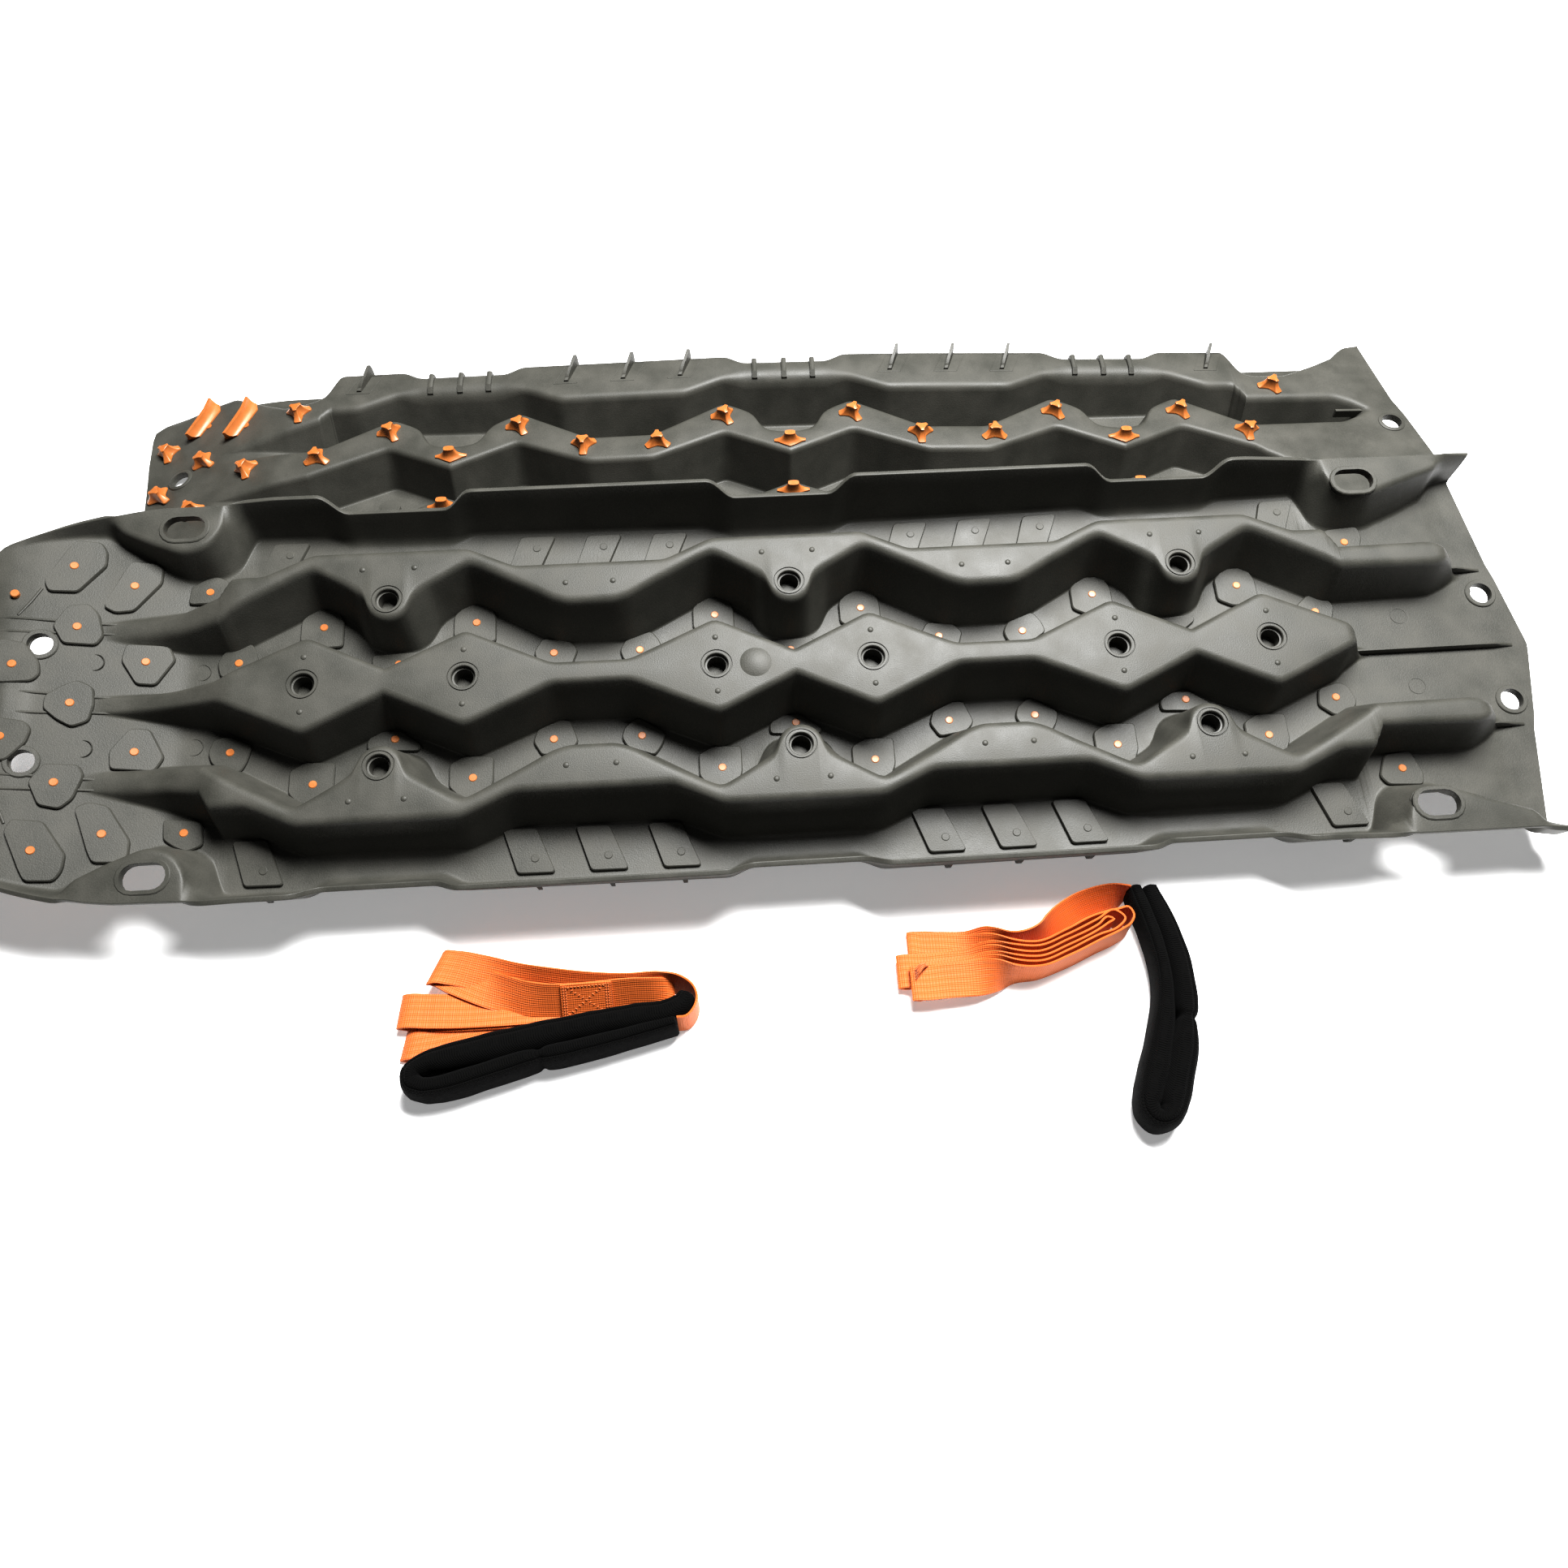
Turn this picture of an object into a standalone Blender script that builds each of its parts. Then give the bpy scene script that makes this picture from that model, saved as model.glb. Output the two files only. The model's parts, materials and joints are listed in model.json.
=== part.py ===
"""Two plastic tyre traction boards and their two pull leashes, laid out ready for use.

Each board is a thin corrugated moulding: three zigzag ridges run under a driving deck, a rim wall goes
round the long sides, one end is a scoop and the other a flat tail. The rear board lies deck up, and the
front board lies deck down with its far side leaning on the rear one. Gripping teeth stand on both decks.

Board frame, in millimetres: x from the scoop to the tail, y across, z = 0 at the plane that the ridges and
the rim stand on, z up towards the deck.
"""
import math

import bmesh
import bpy
from mathutils import Matrix, Vector

MM = 0.001
GAP = 0.3                    # clearance between two pieces that touch

# ---- board: driving dimensions (mm) ----
WALL = 4.0                   # thickness of the moulding
PITCH = 296.0                # the zigzag pattern repeats at this length
POSTS = (-341.0, -45.0, 251.0)
DIAMOND = 57.0               # from a post to the widest place of the centre ridge
POST_Y = 65.5                # sideways place of the posts' bores
BORE_R = 8.0
SCOOP_TIP = -629.0
TAIL_APEX = 524.0
BOW_START = -600.0           # the scoop's lip starts to bow here
HOLE_R = 8.5
SCOOP_HOLE = (-590.5, 45.6)
TAIL_HOLE = (498.5, 45.6)
SLOT_LENGTH = 32.0
SLOT_WIDTH = 20.0
SLOTS = ((-494.0, 135.3), (403.5, 134.5))
BLADE_PLACES = (-430.5, -241.5, -189.5, -137.5, 54.5, 106.5, 158.5, 350.0)
BLADE_Y = 127.5
BLADE_LENGTH = 21.0
BLADE_WIDTH = 5.0
BLADE_HEIGHT = 11.0
CUTTER_DEPTH = 40.0

# ---- teeth: place (x, |y|), and turn in degrees about z ----
TOOTH_HEIGHT = 12.0
TOOTH_REACH = 12.5
NEAR_POST_Y = 30.5
PEAK_Y = 63.5
VALLEY_Y = 35.5
VALLEY_STEP = 115.5

# ---- how the front board lies (degrees, mm) ----
FRONT_TILT = 12.233          # far side up, leaning on the rear board
FRONT_PITCH = 0.394
FRONT_YAW = 1.226
FRONT_PLACE = Vector((-10.3, -232.8, 48.15))
PIVOT_HEIGHT = 42.8          # height in the board frame of the point that FRONT_PLACE puts down

# ---- leashes (mm) ----
WEBBING_WIDTH = 25.0
HANDLE_HEIGHT = 27.0
LEFT_WEBBING = ((-336, -456), (-312, -424), (-290, -427), (-256, -441), (-220, -449), (-165, -453),
                (-142, -459), (-128, -474), (-129, -488), (-141, -491), (-141, -471), (-171, -472),
                (-214, -477), (-248, -482), (-280, -490), (-315, -498), (-331, -505))
LEFT_HANDLE = ((-328, -512), (-315, -502), (-280, -493), (-248, -485), (-214, -480), (-192, -477),
               (-171, -475), (-145, -474), (-144, -489), (-165, -496), (-199, -506), (-235, -512),
               (-258, -521), (-292, -531), (-312, -533), (-325, -528))
RIGHT_WEBBING = ((-2, -470), (0, -434), (12, -434), (14, -420), (60, -426), (75, -432), (99, -433),
                 (112, -420), (128, -402), (142, -399), (152, -399), (168, -404), (175, -424),
                 (172, -436), (166, -442), (149, -448), (124, -458), (104, -466), (86, -468),
                 (70, -472), (54, -479), (32, -479), (14, -481))
RIGHT_HANDLE = ((178, -399), (179, -431), (181, -471), (179, -486), (168, -516), (156, -541),
                (149, -558), (152, -566), (165, -573), (176, -573), (189, -551), (203, -513),
                (206, -491), (210, -447), (206, -415), (196, -399))

CHARCOAL = (0.045, 0.047, 0.043)
ORANGE = (0.86, 0.24, 0.06)
BLACK_FOAM = (0.006, 0.006, 0.006)


# ---------------------------------------------------------------- small helpers

def ramp(points, x):
    """Straight-line interpolation through (x, value) points, level beyond both ends."""
    if x <= points[0][0]:
        return points[0][1]
    for (x0, v0), (x1, v1) in zip(points, points[1:]):
        if x <= x1:
            return v0 + (v1 - v0) * (x - x0) / (x1 - x0)
    return points[-1][1]


def from_post(x):
    """Distance from the nearest post, which is what the zigzag depends on."""
    return min(abs(x - post) for post in POSTS)


def material(name, colour, roughness):
    made = bpy.data.materials.new(name)
    made.use_nodes = True
    shader = made.node_tree.nodes["Principled BSDF"]
    shader.inputs["Base Color"].default_value = (*colour, 1.0)
    shader.inputs["Roughness"].default_value = roughness
    shader.inputs["Metallic"].default_value = 0.0
    made.diffuse_color = (*colour, 1.0)
    return made


def add_object(name, mesh, collection, parent=None):
    made = bpy.data.objects.new(name, mesh)
    collection.objects.link(made)
    made.parent = parent
    return made


def add_frame(name, collection, place=Matrix.Identity(4)):
    """An empty that carries the pieces of one body."""
    empty = bpy.data.objects.new(name, None)
    empty.matrix_world = place
    collection.objects.link(empty)
    return empty


# ---------------------------------------------------------------- board section

def deck_height(x):
    """Underside of the deck: slightly arched, ramping down to the scoop's lip."""
    return ramp(((SCOOP_TIP, 0.4), (-616, 1.0), (-600, 4.6), (-548, 19.0), (-494, 33.6), (-471, 35.6),
                 (-400, 37.8), (-100, 46.9), (0, 47.1), (70, 46.2), (371, 37.6), (TAIL_APEX, 35.6)), x)


def ridge_floor(x, end):
    """Bottom of a ridge: on the ground plane, rising into the deck at the scoop and at its tail end."""
    if x < -461:
        return ramp(((-548, deck_height(-548)), (-461, 0.0)), x)
    return ramp(((end, 0.0), (end + 16, deck_height(end + 16))), x)


def zigzag(x, in_pattern, scoop, tail):
    """A side line of a ridge: a pattern of distance-from-post points, with its own two ends."""
    if x < POSTS[0] - 120:
        return ramp(scoop, x)
    if x > POSTS[-1] + 120:
        return ramp(tail, x)
    return ramp(in_pattern, from_post(x))


def section(x):
    """Half of the underside's cross-section at x, as (y, z) points from the middle to the rim."""
    deck = deck_height(x)
    middle = min(ridge_floor(x, 371), deck)
    side = min(ridge_floor(x, 452), deck)
    core = zigzag(x, ((0, 9.5), (57, 36), (120, 8)),
                  ((-548, 4.5), (-494, 6.5), (-461, 8)), ((371, 6.5), (387, 4)))
    core_base = zigzag(x, ((0, 21), (57, 48), (120, 20.5)),
                       ((-548, 5.7), (-494, 13), (-461, 19.5)), ((371, 18), (387, 6)))
    inner_base = zigzag(x, ((0, 41), (13, 41.5), (40, 67.5), (57, 78.5), (120, 44)),
                        ((-548, 46), (-494, 43), (-461, 44)), ((371, 44), (452, 44), (468, 51)))
    inner = zigzag(x, ((0, 50.5), (13, 57.5), (40, 81), (57, 90.5), (120, 57.5)),
                   ((-548, 48.5), (-494, 53), (-461, 58)), ((371, 57.5), (452, 55), (468, 56)))
    outer = zigzag(x, ((57, 106), (92, 89.5)),
                   ((-548, 58), (-494, 68), (-461, 78)), ((371, 73), (452, 71), (468, 66)))
    outer_base = zigzag(x, ((57, 118), (92, 102)),
                        ((-548, 60.5), (-494, 79), (-461, 92)), ((371, 85), (452, 83), (468, 71)))
    return [(0.0, middle), (core, middle), (core_base, deck), (inner_base, deck), (inner, side),
            (outer, side), (outer_base, deck)] + edge_section(x, deck)


def edge_section(x, deck):
    """The outer strip, its wall and the rim; near the corners the strip drops to a slotted pocket."""
    rim_y = ramp(((SCOOP_TIP, 90), (-618, 114), (-600, 128), (-575, 139), (-548, 147), (-520, 151.5),
                  (-494, 153.5), (-461, 154)), x)
    rim_z = ramp(((SCOOP_TIP, 0.3), (-600, 1.5), (-548, 3.0), (-471, 3.8), (-430, 0.0),
                  (320, 0.0), (374.5, 5.0), (490, 6.0), (TAIL_APEX, 10.0)), x)
    notch = from_post(x)
    if POSTS[0] - 120 < x < POSTS[-1] + 120:
        rim_y = ramp(((40, 147.0), (57, 154.0)), notch)
        rim_z = max(rim_z, ramp(((40, 12.0), (57, 0.0)), notch))
    if -548 < x < -461:
        base = ramp(((-548, 139), (-520, 113), (-494, 101), (-471, 107)), x)
        top = ramp(((-548, 143), (-520, 127), (-494, 116), (-471, 124)), x)
        pocket = ramp(((-548, rim_z), (-520, 3.8)), x)
        return [(base, deck), (top, pocket), (rim_y, rim_z)]
    if x > POSTS[-1] + 122:
        base = ramp(((374.5, 117), (387, 109), (405, 107.5), (470, 131), (TAIL_APEX, 130)), x)
        top = ramp(((374.5, 127), (387, 116), (405, 112.5), (470, 136), (490, 142), (TAIL_APEX, 146)), x)
        pocket = ramp(((470, 5.2), (490, 14), (TAIL_APEX, 24)), x)
        return [(base, deck), (top, pocket), (rim_y + 1.5, rim_z)]
    base = rim_y - ramp(((SCOOP_TIP, 6), (-548, 9), (-461, 10.5), (-430, 10.5)), x)
    if x > -461:
        base = 143.5
    return [(base, deck), ((base + rim_y) / 2, (deck + rim_z) / 2), (rim_y, rim_z)]


def end_shift(x, y):
    """The lip bows and the tail edge is a shallow vee, so the end stations are not straight."""
    if x < BOW_START:
        return 0.0006 * y * y * (BOW_START - x) / (BOW_START - SCOOP_TIP)
    edge = TAIL_APEX - ramp(((0, 0), (40, 5), (100, 24), (128, 30), (145, 27), (158, 19)), abs(y))
    start = 470.0
    return max(0.0, x - start) / (TAIL_APEX - start) * (edge - TAIL_APEX)


def stations():
    around_post = (0, 13, 40, 57, 92, 120)
    places = {SCOOP_TIP, -618, -600, -575, -548, -520, -494, -471, 374.5, 387, 405, 430, 452, 468, 490, TAIL_APEX}
    for post in POSTS:
        for step in around_post:
            places.update((post - step, post + step))
    return sorted(places)


# ---------------------------------------------------------------- board solid

def raised(line, distance):
    """A cross-section line moved square to itself, with mitred corners."""
    runs = [Vector((b[0] - a[0], b[1] - a[1])).normalized() for a, b in zip(line, line[1:])]
    ups = [Vector((-run.y, run.x)) for run in runs]
    ups = [ups[0]] + [(a + b) / (1 + a.dot(b)) for a, b in zip(ups, ups[1:])] + [ups[-1]]
    return [(y + up.x * distance, z + up.y * distance) for (y, z), up in zip(line, ups)]


def board_shell():
    """The moulding as a closed loft: each station is the underside's line and the same line raised."""
    shell = bmesh.new()
    loops = []
    for x in stations():
        half = section(x)
        under = [(-y, z) for y, z in reversed(half[1:])] + half
        loop = under + raised(under, WALL)[::-1]
        loops.append([shell.verts.new(Vector((x + end_shift(x, y), y, z)) * MM) for y, z in loop])
    for loop, following in zip(loops, loops[1:]):
        for k in range(len(loop)):
            shell.faces.new((loop[k - 1], following[k - 1], following[k], loop[k]))
    last = len(loops[0]) - 1
    for end in (loops[0], loops[-1]):
        for k in range(last // 2):
            shell.faces.new((end[k], end[k + 1], end[last - k - 1], end[last - k]))
    bmesh.ops.recalc_face_normals(shell, faces=shell.faces)
    mesh = bpy.data.meshes.new("board_shell")
    shell.to_mesh(mesh)
    shell.free()
    return mesh


def round_cutter(radius, sides, stretch=0.0):
    """A cylinder, or with stretch a slot-shaped prism, standing across the deck."""
    cutter = bmesh.new()
    half_side = Matrix.Rotation(math.pi / sides, 4, "Z")
    bmesh.ops.create_cone(cutter, cap_ends=True, segments=sides, radius1=radius * MM, radius2=radius * MM,
                          depth=CUTTER_DEPTH * MM, matrix=half_side)
    for vert in cutter.verts:
        vert.co.x += math.copysign(stretch / 2 * MM, vert.co.x)
    mesh = bpy.data.meshes.new("cutter")
    cutter.to_mesh(mesh)
    cutter.free()
    return mesh


def hole_places():
    """Every opening in a board: (x, y, z of the plate there, cutter mesh)."""
    bore = round_cutter(BORE_R, 12)
    hole = round_cutter(HOLE_R, 12)
    slot = round_cutter(SLOT_WIDTH / 2, 12, SLOT_LENGTH - SLOT_WIDTH)
    places = []
    for post in POSTS:
        places += [(post - DIAMOND, 0, 0, bore), (post + DIAMOND, 0, 0, bore)]
        places += [(post, side * POST_Y, 0, bore) for side in (-1, 1)]
    for x, y in (SCOOP_HOLE, TAIL_HOLE):
        places += [(x, side * y, deck_height(x), hole) for side in (-1, 1)]
    for x, y in SLOTS:
        places += [(x, side * y, WALL, slot) for side in (-1, 1)]
    return places


def joined_mesh(name, placed):
    """One mesh from (mesh, matrix) pairs whose shapes stay apart."""
    whole = bmesh.new()
    for mesh, matrix in placed:
        piece = mesh.copy()
        piece.transform(matrix)
        whole.from_mesh(piece)
        bpy.data.meshes.remove(piece)
    mesh = bpy.data.meshes.new(name)
    whole.to_mesh(mesh)
    whole.free()
    return mesh


def cutters_mesh():
    placed = [(mesh, Matrix.Translation(Vector((x, y, z)) * MM)) for x, y, z, mesh in hole_places()]
    return joined_mesh("board_openings", placed)


def blades_mesh():
    """The short upright fins along both edges of the deck, sunk a little into it."""
    sink = 1.5
    fin = bmesh.new()
    bmesh.ops.create_cube(fin, size=1.0)
    for vert in fin.verts:
        taper = 0.6 if vert.co.z > 0 else 1.0
        vert.co = Vector((vert.co.x * BLADE_WIDTH * taper, vert.co.y * BLADE_LENGTH * (0.6 + taper) / 1.6,
                          (vert.co.z + 0.5) * (BLADE_HEIGHT + sink))) * MM
    mesh = bpy.data.meshes.new("fin")
    fin.to_mesh(mesh)
    fin.free()
    placed = []
    for x in BLADE_PLACES:
        lift = deck_height(x) + WALL - sink
        placed += [(mesh, Matrix.Translation(Vector((x, side * BLADE_Y, lift)) * MM)) for side in (-1, 1)]
    return joined_mesh("board_blades", placed)


def add_board(name, frame, look, parts, tools, meshes):
    """A board in its frame: the shell with the blades joined on and the openings cut through."""
    shell, blades, openings = meshes
    board = add_object(name, shell.copy(), parts, frame)
    board.data.materials.append(look)
    for tool_name, mesh, operation in (("blades", blades, "UNION"), ("openings", openings, "DIFFERENCE")):
        tool = add_object(name + "_" + tool_name, mesh, tools, frame)
        tool.hide_render = True
        tool.display_type = "WIRE"
        change = board.modifiers.new(tool_name, "BOOLEAN")
        change.operation = operation
        change.object = tool
        change.solver = "EXACT"
    return board


# ---------------------------------------------------------------- teeth

def tooth_mesh(stretch_x=1.0, stretch_y=1.0):
    """A three-legged gripping tooth: a star base that draws in to a blunt top."""
    star = []
    for leg in range(3):
        for turn, reach in ((-15, TOOTH_REACH), (15, TOOTH_REACH), (60, 0.42 * TOOTH_REACH)):
            angle = math.radians(120 * leg + turn)
            star.append((math.cos(angle) * reach * stretch_x, math.sin(angle) * reach * stretch_y))
    tooth = bmesh.new()
    rings = [[tooth.verts.new(Vector((x * size, y * size, z)) * MM) for x, y in star]
             for z, size in ((0.0, 1.0), (3.0, 0.92), (TOOTH_HEIGHT, 0.36))]
    for low, high in zip(rings, rings[1:]):
        for k in range(len(star)):
            after = (k + 1) % len(star)
            tooth.faces.new((low[k], low[after], high[after], high[k]))
    tooth.faces.new(reversed(rings[0]))
    tooth.faces.new(rings[-1])
    mesh = bpy.data.meshes.new("tooth")
    tooth.to_mesh(mesh)
    tooth.free()
    return mesh


def tooth_places():
    """(x, |y|, turn, kind) of the teeth that stand in the zigzag, from the scoop to the tail."""
    places = []
    for post in POSTS:
        places += [(post - DIAMOND, PEAK_Y, 180, "star"), (post, NEAR_POST_Y, 0, "boat"),
                   (post + DIAMOND, PEAK_Y, 180, "star")]
    for post, following in zip(POSTS, POSTS[1:]):
        places += [(post + VALLEY_STEP, VALLEY_Y, -90, "star"), (following - VALLEY_STEP, VALLEY_Y, 90, "star")]
    return sorted(places)


def add_teeth(prefix, frame, look, parts):
    kinds = {"star": tooth_mesh(), "boat": tooth_mesh(1.25, 0.62)}
    for mesh in kinds.values():
        mesh.materials.append(look)
    rows = [(x, 0.0, 0, "star", "middle") for x in (-567.5,)]
    for side, word in ((1, "left"), (-1, "right")):
        rows += [(x, side * y, side * turn, kind, word) for x, y, turn, kind in tooth_places()]
    count = {}
    for x, y, turn, kind, word in rows:
        count[word] = count.get(word, 0) + 1
        slope = math.atan2(deck_height(x - 5) - deck_height(x + 5), 10)
        tooth = add_object("{}_tooth_{}_{:02d}".format(prefix, word, count[word]), kinds[kind], parts, frame)
        lift = Vector((0, 0, deck_height(x) + WALL / math.cos(slope) + GAP))
        tooth.matrix_local = (Matrix.Translation((Vector((x, y, 0)) + lift) * MM)
                              @ Matrix.Rotation(slope, 4, "Y") @ Matrix.Rotation(math.radians(turn), 4, "Z"))


# ---------------------------------------------------------------- leashes

def add_outline(name, points, height, frame, look, parts):
    """A closed flat outline given a height, standing on the ground."""
    curve = bpy.data.curves.new(name, "CURVE")
    curve.dimensions = "2D"
    curve.fill_mode = "BOTH"
    curve.extrude = height / 2 * MM
    spline = curve.splines.new("POLY")
    spline.points.add(len(points) - 1)
    for point, (x, y) in zip(spline.points, points):
        point.co = (x * MM, y * MM, 0.0, 1.0)
    spline.use_cyclic_u = True
    curve.materials.append(look)
    piece = add_object(name, curve, parts, frame)
    piece.location.z = height / 2 * MM
    return piece


def add_leashes(frames, orange, black, parts):
    """The folded webbing, and the padded loop handle sewn to it, as the solids that they fill."""
    left, right = frames
    add_outline("leash_left_webbing", LEFT_WEBBING, WEBBING_WIDTH, left, orange, parts)
    add_outline("leash_left_handle", LEFT_HANDLE, HANDLE_HEIGHT, left, black, parts)
    add_outline("leash_right_webbing", RIGHT_WEBBING, WEBBING_WIDTH, right, orange, parts)
    add_outline("leash_right_handle", RIGHT_HANDLE, HANDLE_HEIGHT, right, black, parts)


# ---------------------------------------------------------------- the set

def front_pose():
    """Deck down, turned and tilted so that its far side rests on the rear board."""
    turn = (Matrix.Rotation(math.radians(FRONT_TILT), 4, "X") @ Matrix.Rotation(math.radians(FRONT_PITCH), 4, "Y")
            @ Matrix.Rotation(math.radians(FRONT_YAW), 4, "Z"))
    upside_down = Matrix.Rotation(math.pi, 4, "X")
    pivot_down = Matrix.Translation(Vector((0, 0, -PIVOT_HEIGHT)) * MM)
    return Matrix.Translation(FRONT_PLACE * MM) @ turn @ upside_down @ pivot_down


def centre_on_ground(frames, parts):
    """Moves the whole set so that the middle of its footprint is the origin."""
    bpy.context.view_layer.update()
    corners = []
    depsgraph = bpy.context.evaluated_depsgraph_get()
    for piece in parts.objects:
        if piece.type != "EMPTY":
            seen = piece.evaluated_get(depsgraph)
            mesh = seen.to_mesh()
            corners += [piece.matrix_world @ vert.co for vert in mesh.vertices]
            seen.to_mesh_clear()
    for axis in range(2):
        middle = (min(c[axis] for c in corners) + max(c[axis] for c in corners)) / 2
        for frame in frames:
            frame.location[axis] -= middle
    lowest = min(c.z for c in corners)
    for frame in frames:
        frame.location.z -= lowest


def main():
    for old in list(bpy.data.objects):
        bpy.data.objects.remove(old)
    parts = bpy.data.collections.new("traction_board_set")
    tools = bpy.data.collections.new("cutters")
    for collection in (parts, tools):
        bpy.context.scene.collection.children.link(collection)
    charcoal = material("charcoal_plastic", CHARCOAL, 0.55)
    nylon = material("orange_nylon", ORANGE, 0.5)
    webbing = material("orange_webbing", ORANGE, 0.8)
    black = material("black_foam_sleeve", BLACK_FOAM, 0.9)

    rear = add_frame("rear_board_frame", parts)
    front = add_frame("front_board_frame", parts, front_pose())
    left = add_frame("leash_left_frame", parts)
    right = add_frame("leash_right_frame", parts)
    meshes = (board_shell(), blades_mesh(), cutters_mesh())
    for prefix, frame in (("rear", rear), ("front", front)):
        add_board(prefix + "_board", frame, charcoal, parts, tools, meshes)
        add_teeth(prefix, frame, nylon, parts)
    add_leashes((left, right), webbing, black, parts)
    centre_on_ground((rear, front, left, right), parts)


main()
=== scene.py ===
"""Looks of the traction board set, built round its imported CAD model.

Two identical plastic boards (one deck up, one deck down and leaning on it), their gripping teeth and two
pull leashes. Sizes are in millimetres in a board's own frame: x from the scoop to the tail, y across, and
z = 0 at the plane that the ridges stand on, with z up towards the driving deck. The rear board's frame is
found from the CAD model, and all else is placed from it.
"""
import json
import math

import bmesh
import bpy
import numpy as np
from mathutils import Euler, Matrix, Vector

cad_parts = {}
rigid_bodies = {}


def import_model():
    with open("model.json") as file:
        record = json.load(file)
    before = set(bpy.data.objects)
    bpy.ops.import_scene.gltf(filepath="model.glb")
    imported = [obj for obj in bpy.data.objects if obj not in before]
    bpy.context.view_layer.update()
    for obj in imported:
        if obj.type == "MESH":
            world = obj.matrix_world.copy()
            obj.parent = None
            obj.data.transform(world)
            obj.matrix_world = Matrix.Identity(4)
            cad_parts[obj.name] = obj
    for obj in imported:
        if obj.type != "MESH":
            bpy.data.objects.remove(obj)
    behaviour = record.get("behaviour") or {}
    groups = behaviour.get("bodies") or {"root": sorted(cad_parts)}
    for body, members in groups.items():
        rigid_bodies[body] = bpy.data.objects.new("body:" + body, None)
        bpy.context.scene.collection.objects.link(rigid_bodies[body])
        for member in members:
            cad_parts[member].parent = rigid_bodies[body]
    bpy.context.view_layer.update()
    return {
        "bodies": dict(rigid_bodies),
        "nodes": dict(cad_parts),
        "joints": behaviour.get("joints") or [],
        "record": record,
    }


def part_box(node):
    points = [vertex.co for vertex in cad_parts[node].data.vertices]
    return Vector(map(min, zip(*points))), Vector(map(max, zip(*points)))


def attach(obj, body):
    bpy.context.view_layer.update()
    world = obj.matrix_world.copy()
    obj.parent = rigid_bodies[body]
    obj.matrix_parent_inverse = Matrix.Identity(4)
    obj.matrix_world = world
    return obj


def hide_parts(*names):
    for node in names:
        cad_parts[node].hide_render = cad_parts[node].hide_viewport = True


MM = 0.001

# ---- board ----
WALL = 4.0
POSTS = (-341.0, -45.0, 251.0)
MIDDLES = (-193.0, 103.0)
DIAMOND = 57.0                # from a post to the widest place of the middle ridge
VALLEY_STEP = 115.5           # from a post to the tooth where the ridges are narrowest
POST_Y = 65.5
BORE_R = 8.0
COLLAR_R = 10.8
SCOOP_TIP = -629.0
TAIL_APEX = 524.0
MAIN_START = -461.0           # between these two the strip along the edge has its full-height wall
MAIN_END = 371.0
HOLE_R = 8.5
HOLES = ((-590.5, 45.6), (499.0, 45.6))
SLOTS = ((-495.5, 136.0), (403.0, 134.0))
SLOT_LENGTH = 31.0
SLOT_WIDTH = 19.0
SCOOP_POCKET = 3.8
TAIL_POCKET = 5.2
STATION_STEP = 3.5
EASE = 4.0                    # turns in the side lines are eased over this much each way
BLADE_PLACES = (-430.5, -241.5, -189.5, -137.5, 54.5, 106.5, 158.5, 350.0)
NOTCH_RIBS = (-28.0, -1.0, 25.0)

# ---- how the front board lies ----
FRONT_TILT = 12.233           # far side up, leaning on the rear board
FRONT_PITCH = 0.394
FRONT_YAW = 1.226
FRONT_PLACE = Vector((-10.3, -232.8, 48.15))
PIVOT_HEIGHT = 42.8           # height in the board frame of the point that FRONT_PLACE puts down

# ---- camera, in the rear board's frame ----
CAMERA_PLACE = Vector((-91.65, -787.72, 782.81))
CAMERA_TURN = (32.374, -0.301, -2.630)
CAMERA_LENS = 27.75

# ---- the studio, in metres ----
LAMP_PLACE, LAMP_AIM = (0.4, 0.5, 1.9), (0.1, 0.0, 0)
LAMP_SIZE, LAMP_POWER = (1.1, 0.7), 128
SKY_STRENGTH, FLOOR_GLOW, FLOOR_REACH = 0.04, 0.3, 6


# ---------------------------------------------------------------- small helpers

def lerp(x, *points):
    """Straight lines through (x, value) points, level beyond both ends."""
    return np.interp(x, [p[0] for p in points], [p[1] for p in points])


def turned(degrees, axis):
    return Matrix.Rotation(math.radians(degrees), 4, axis)


def from_post(x):
    return np.min([np.abs(x - post) for post in POSTS], axis=0)


def new_object(name, mesh, material=None):
    made = bpy.data.objects.new(name, mesh)
    bpy.context.scene.collection.objects.link(made)
    if material:
        mesh.materials.clear()
        mesh.materials.append(material)
    return made


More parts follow.
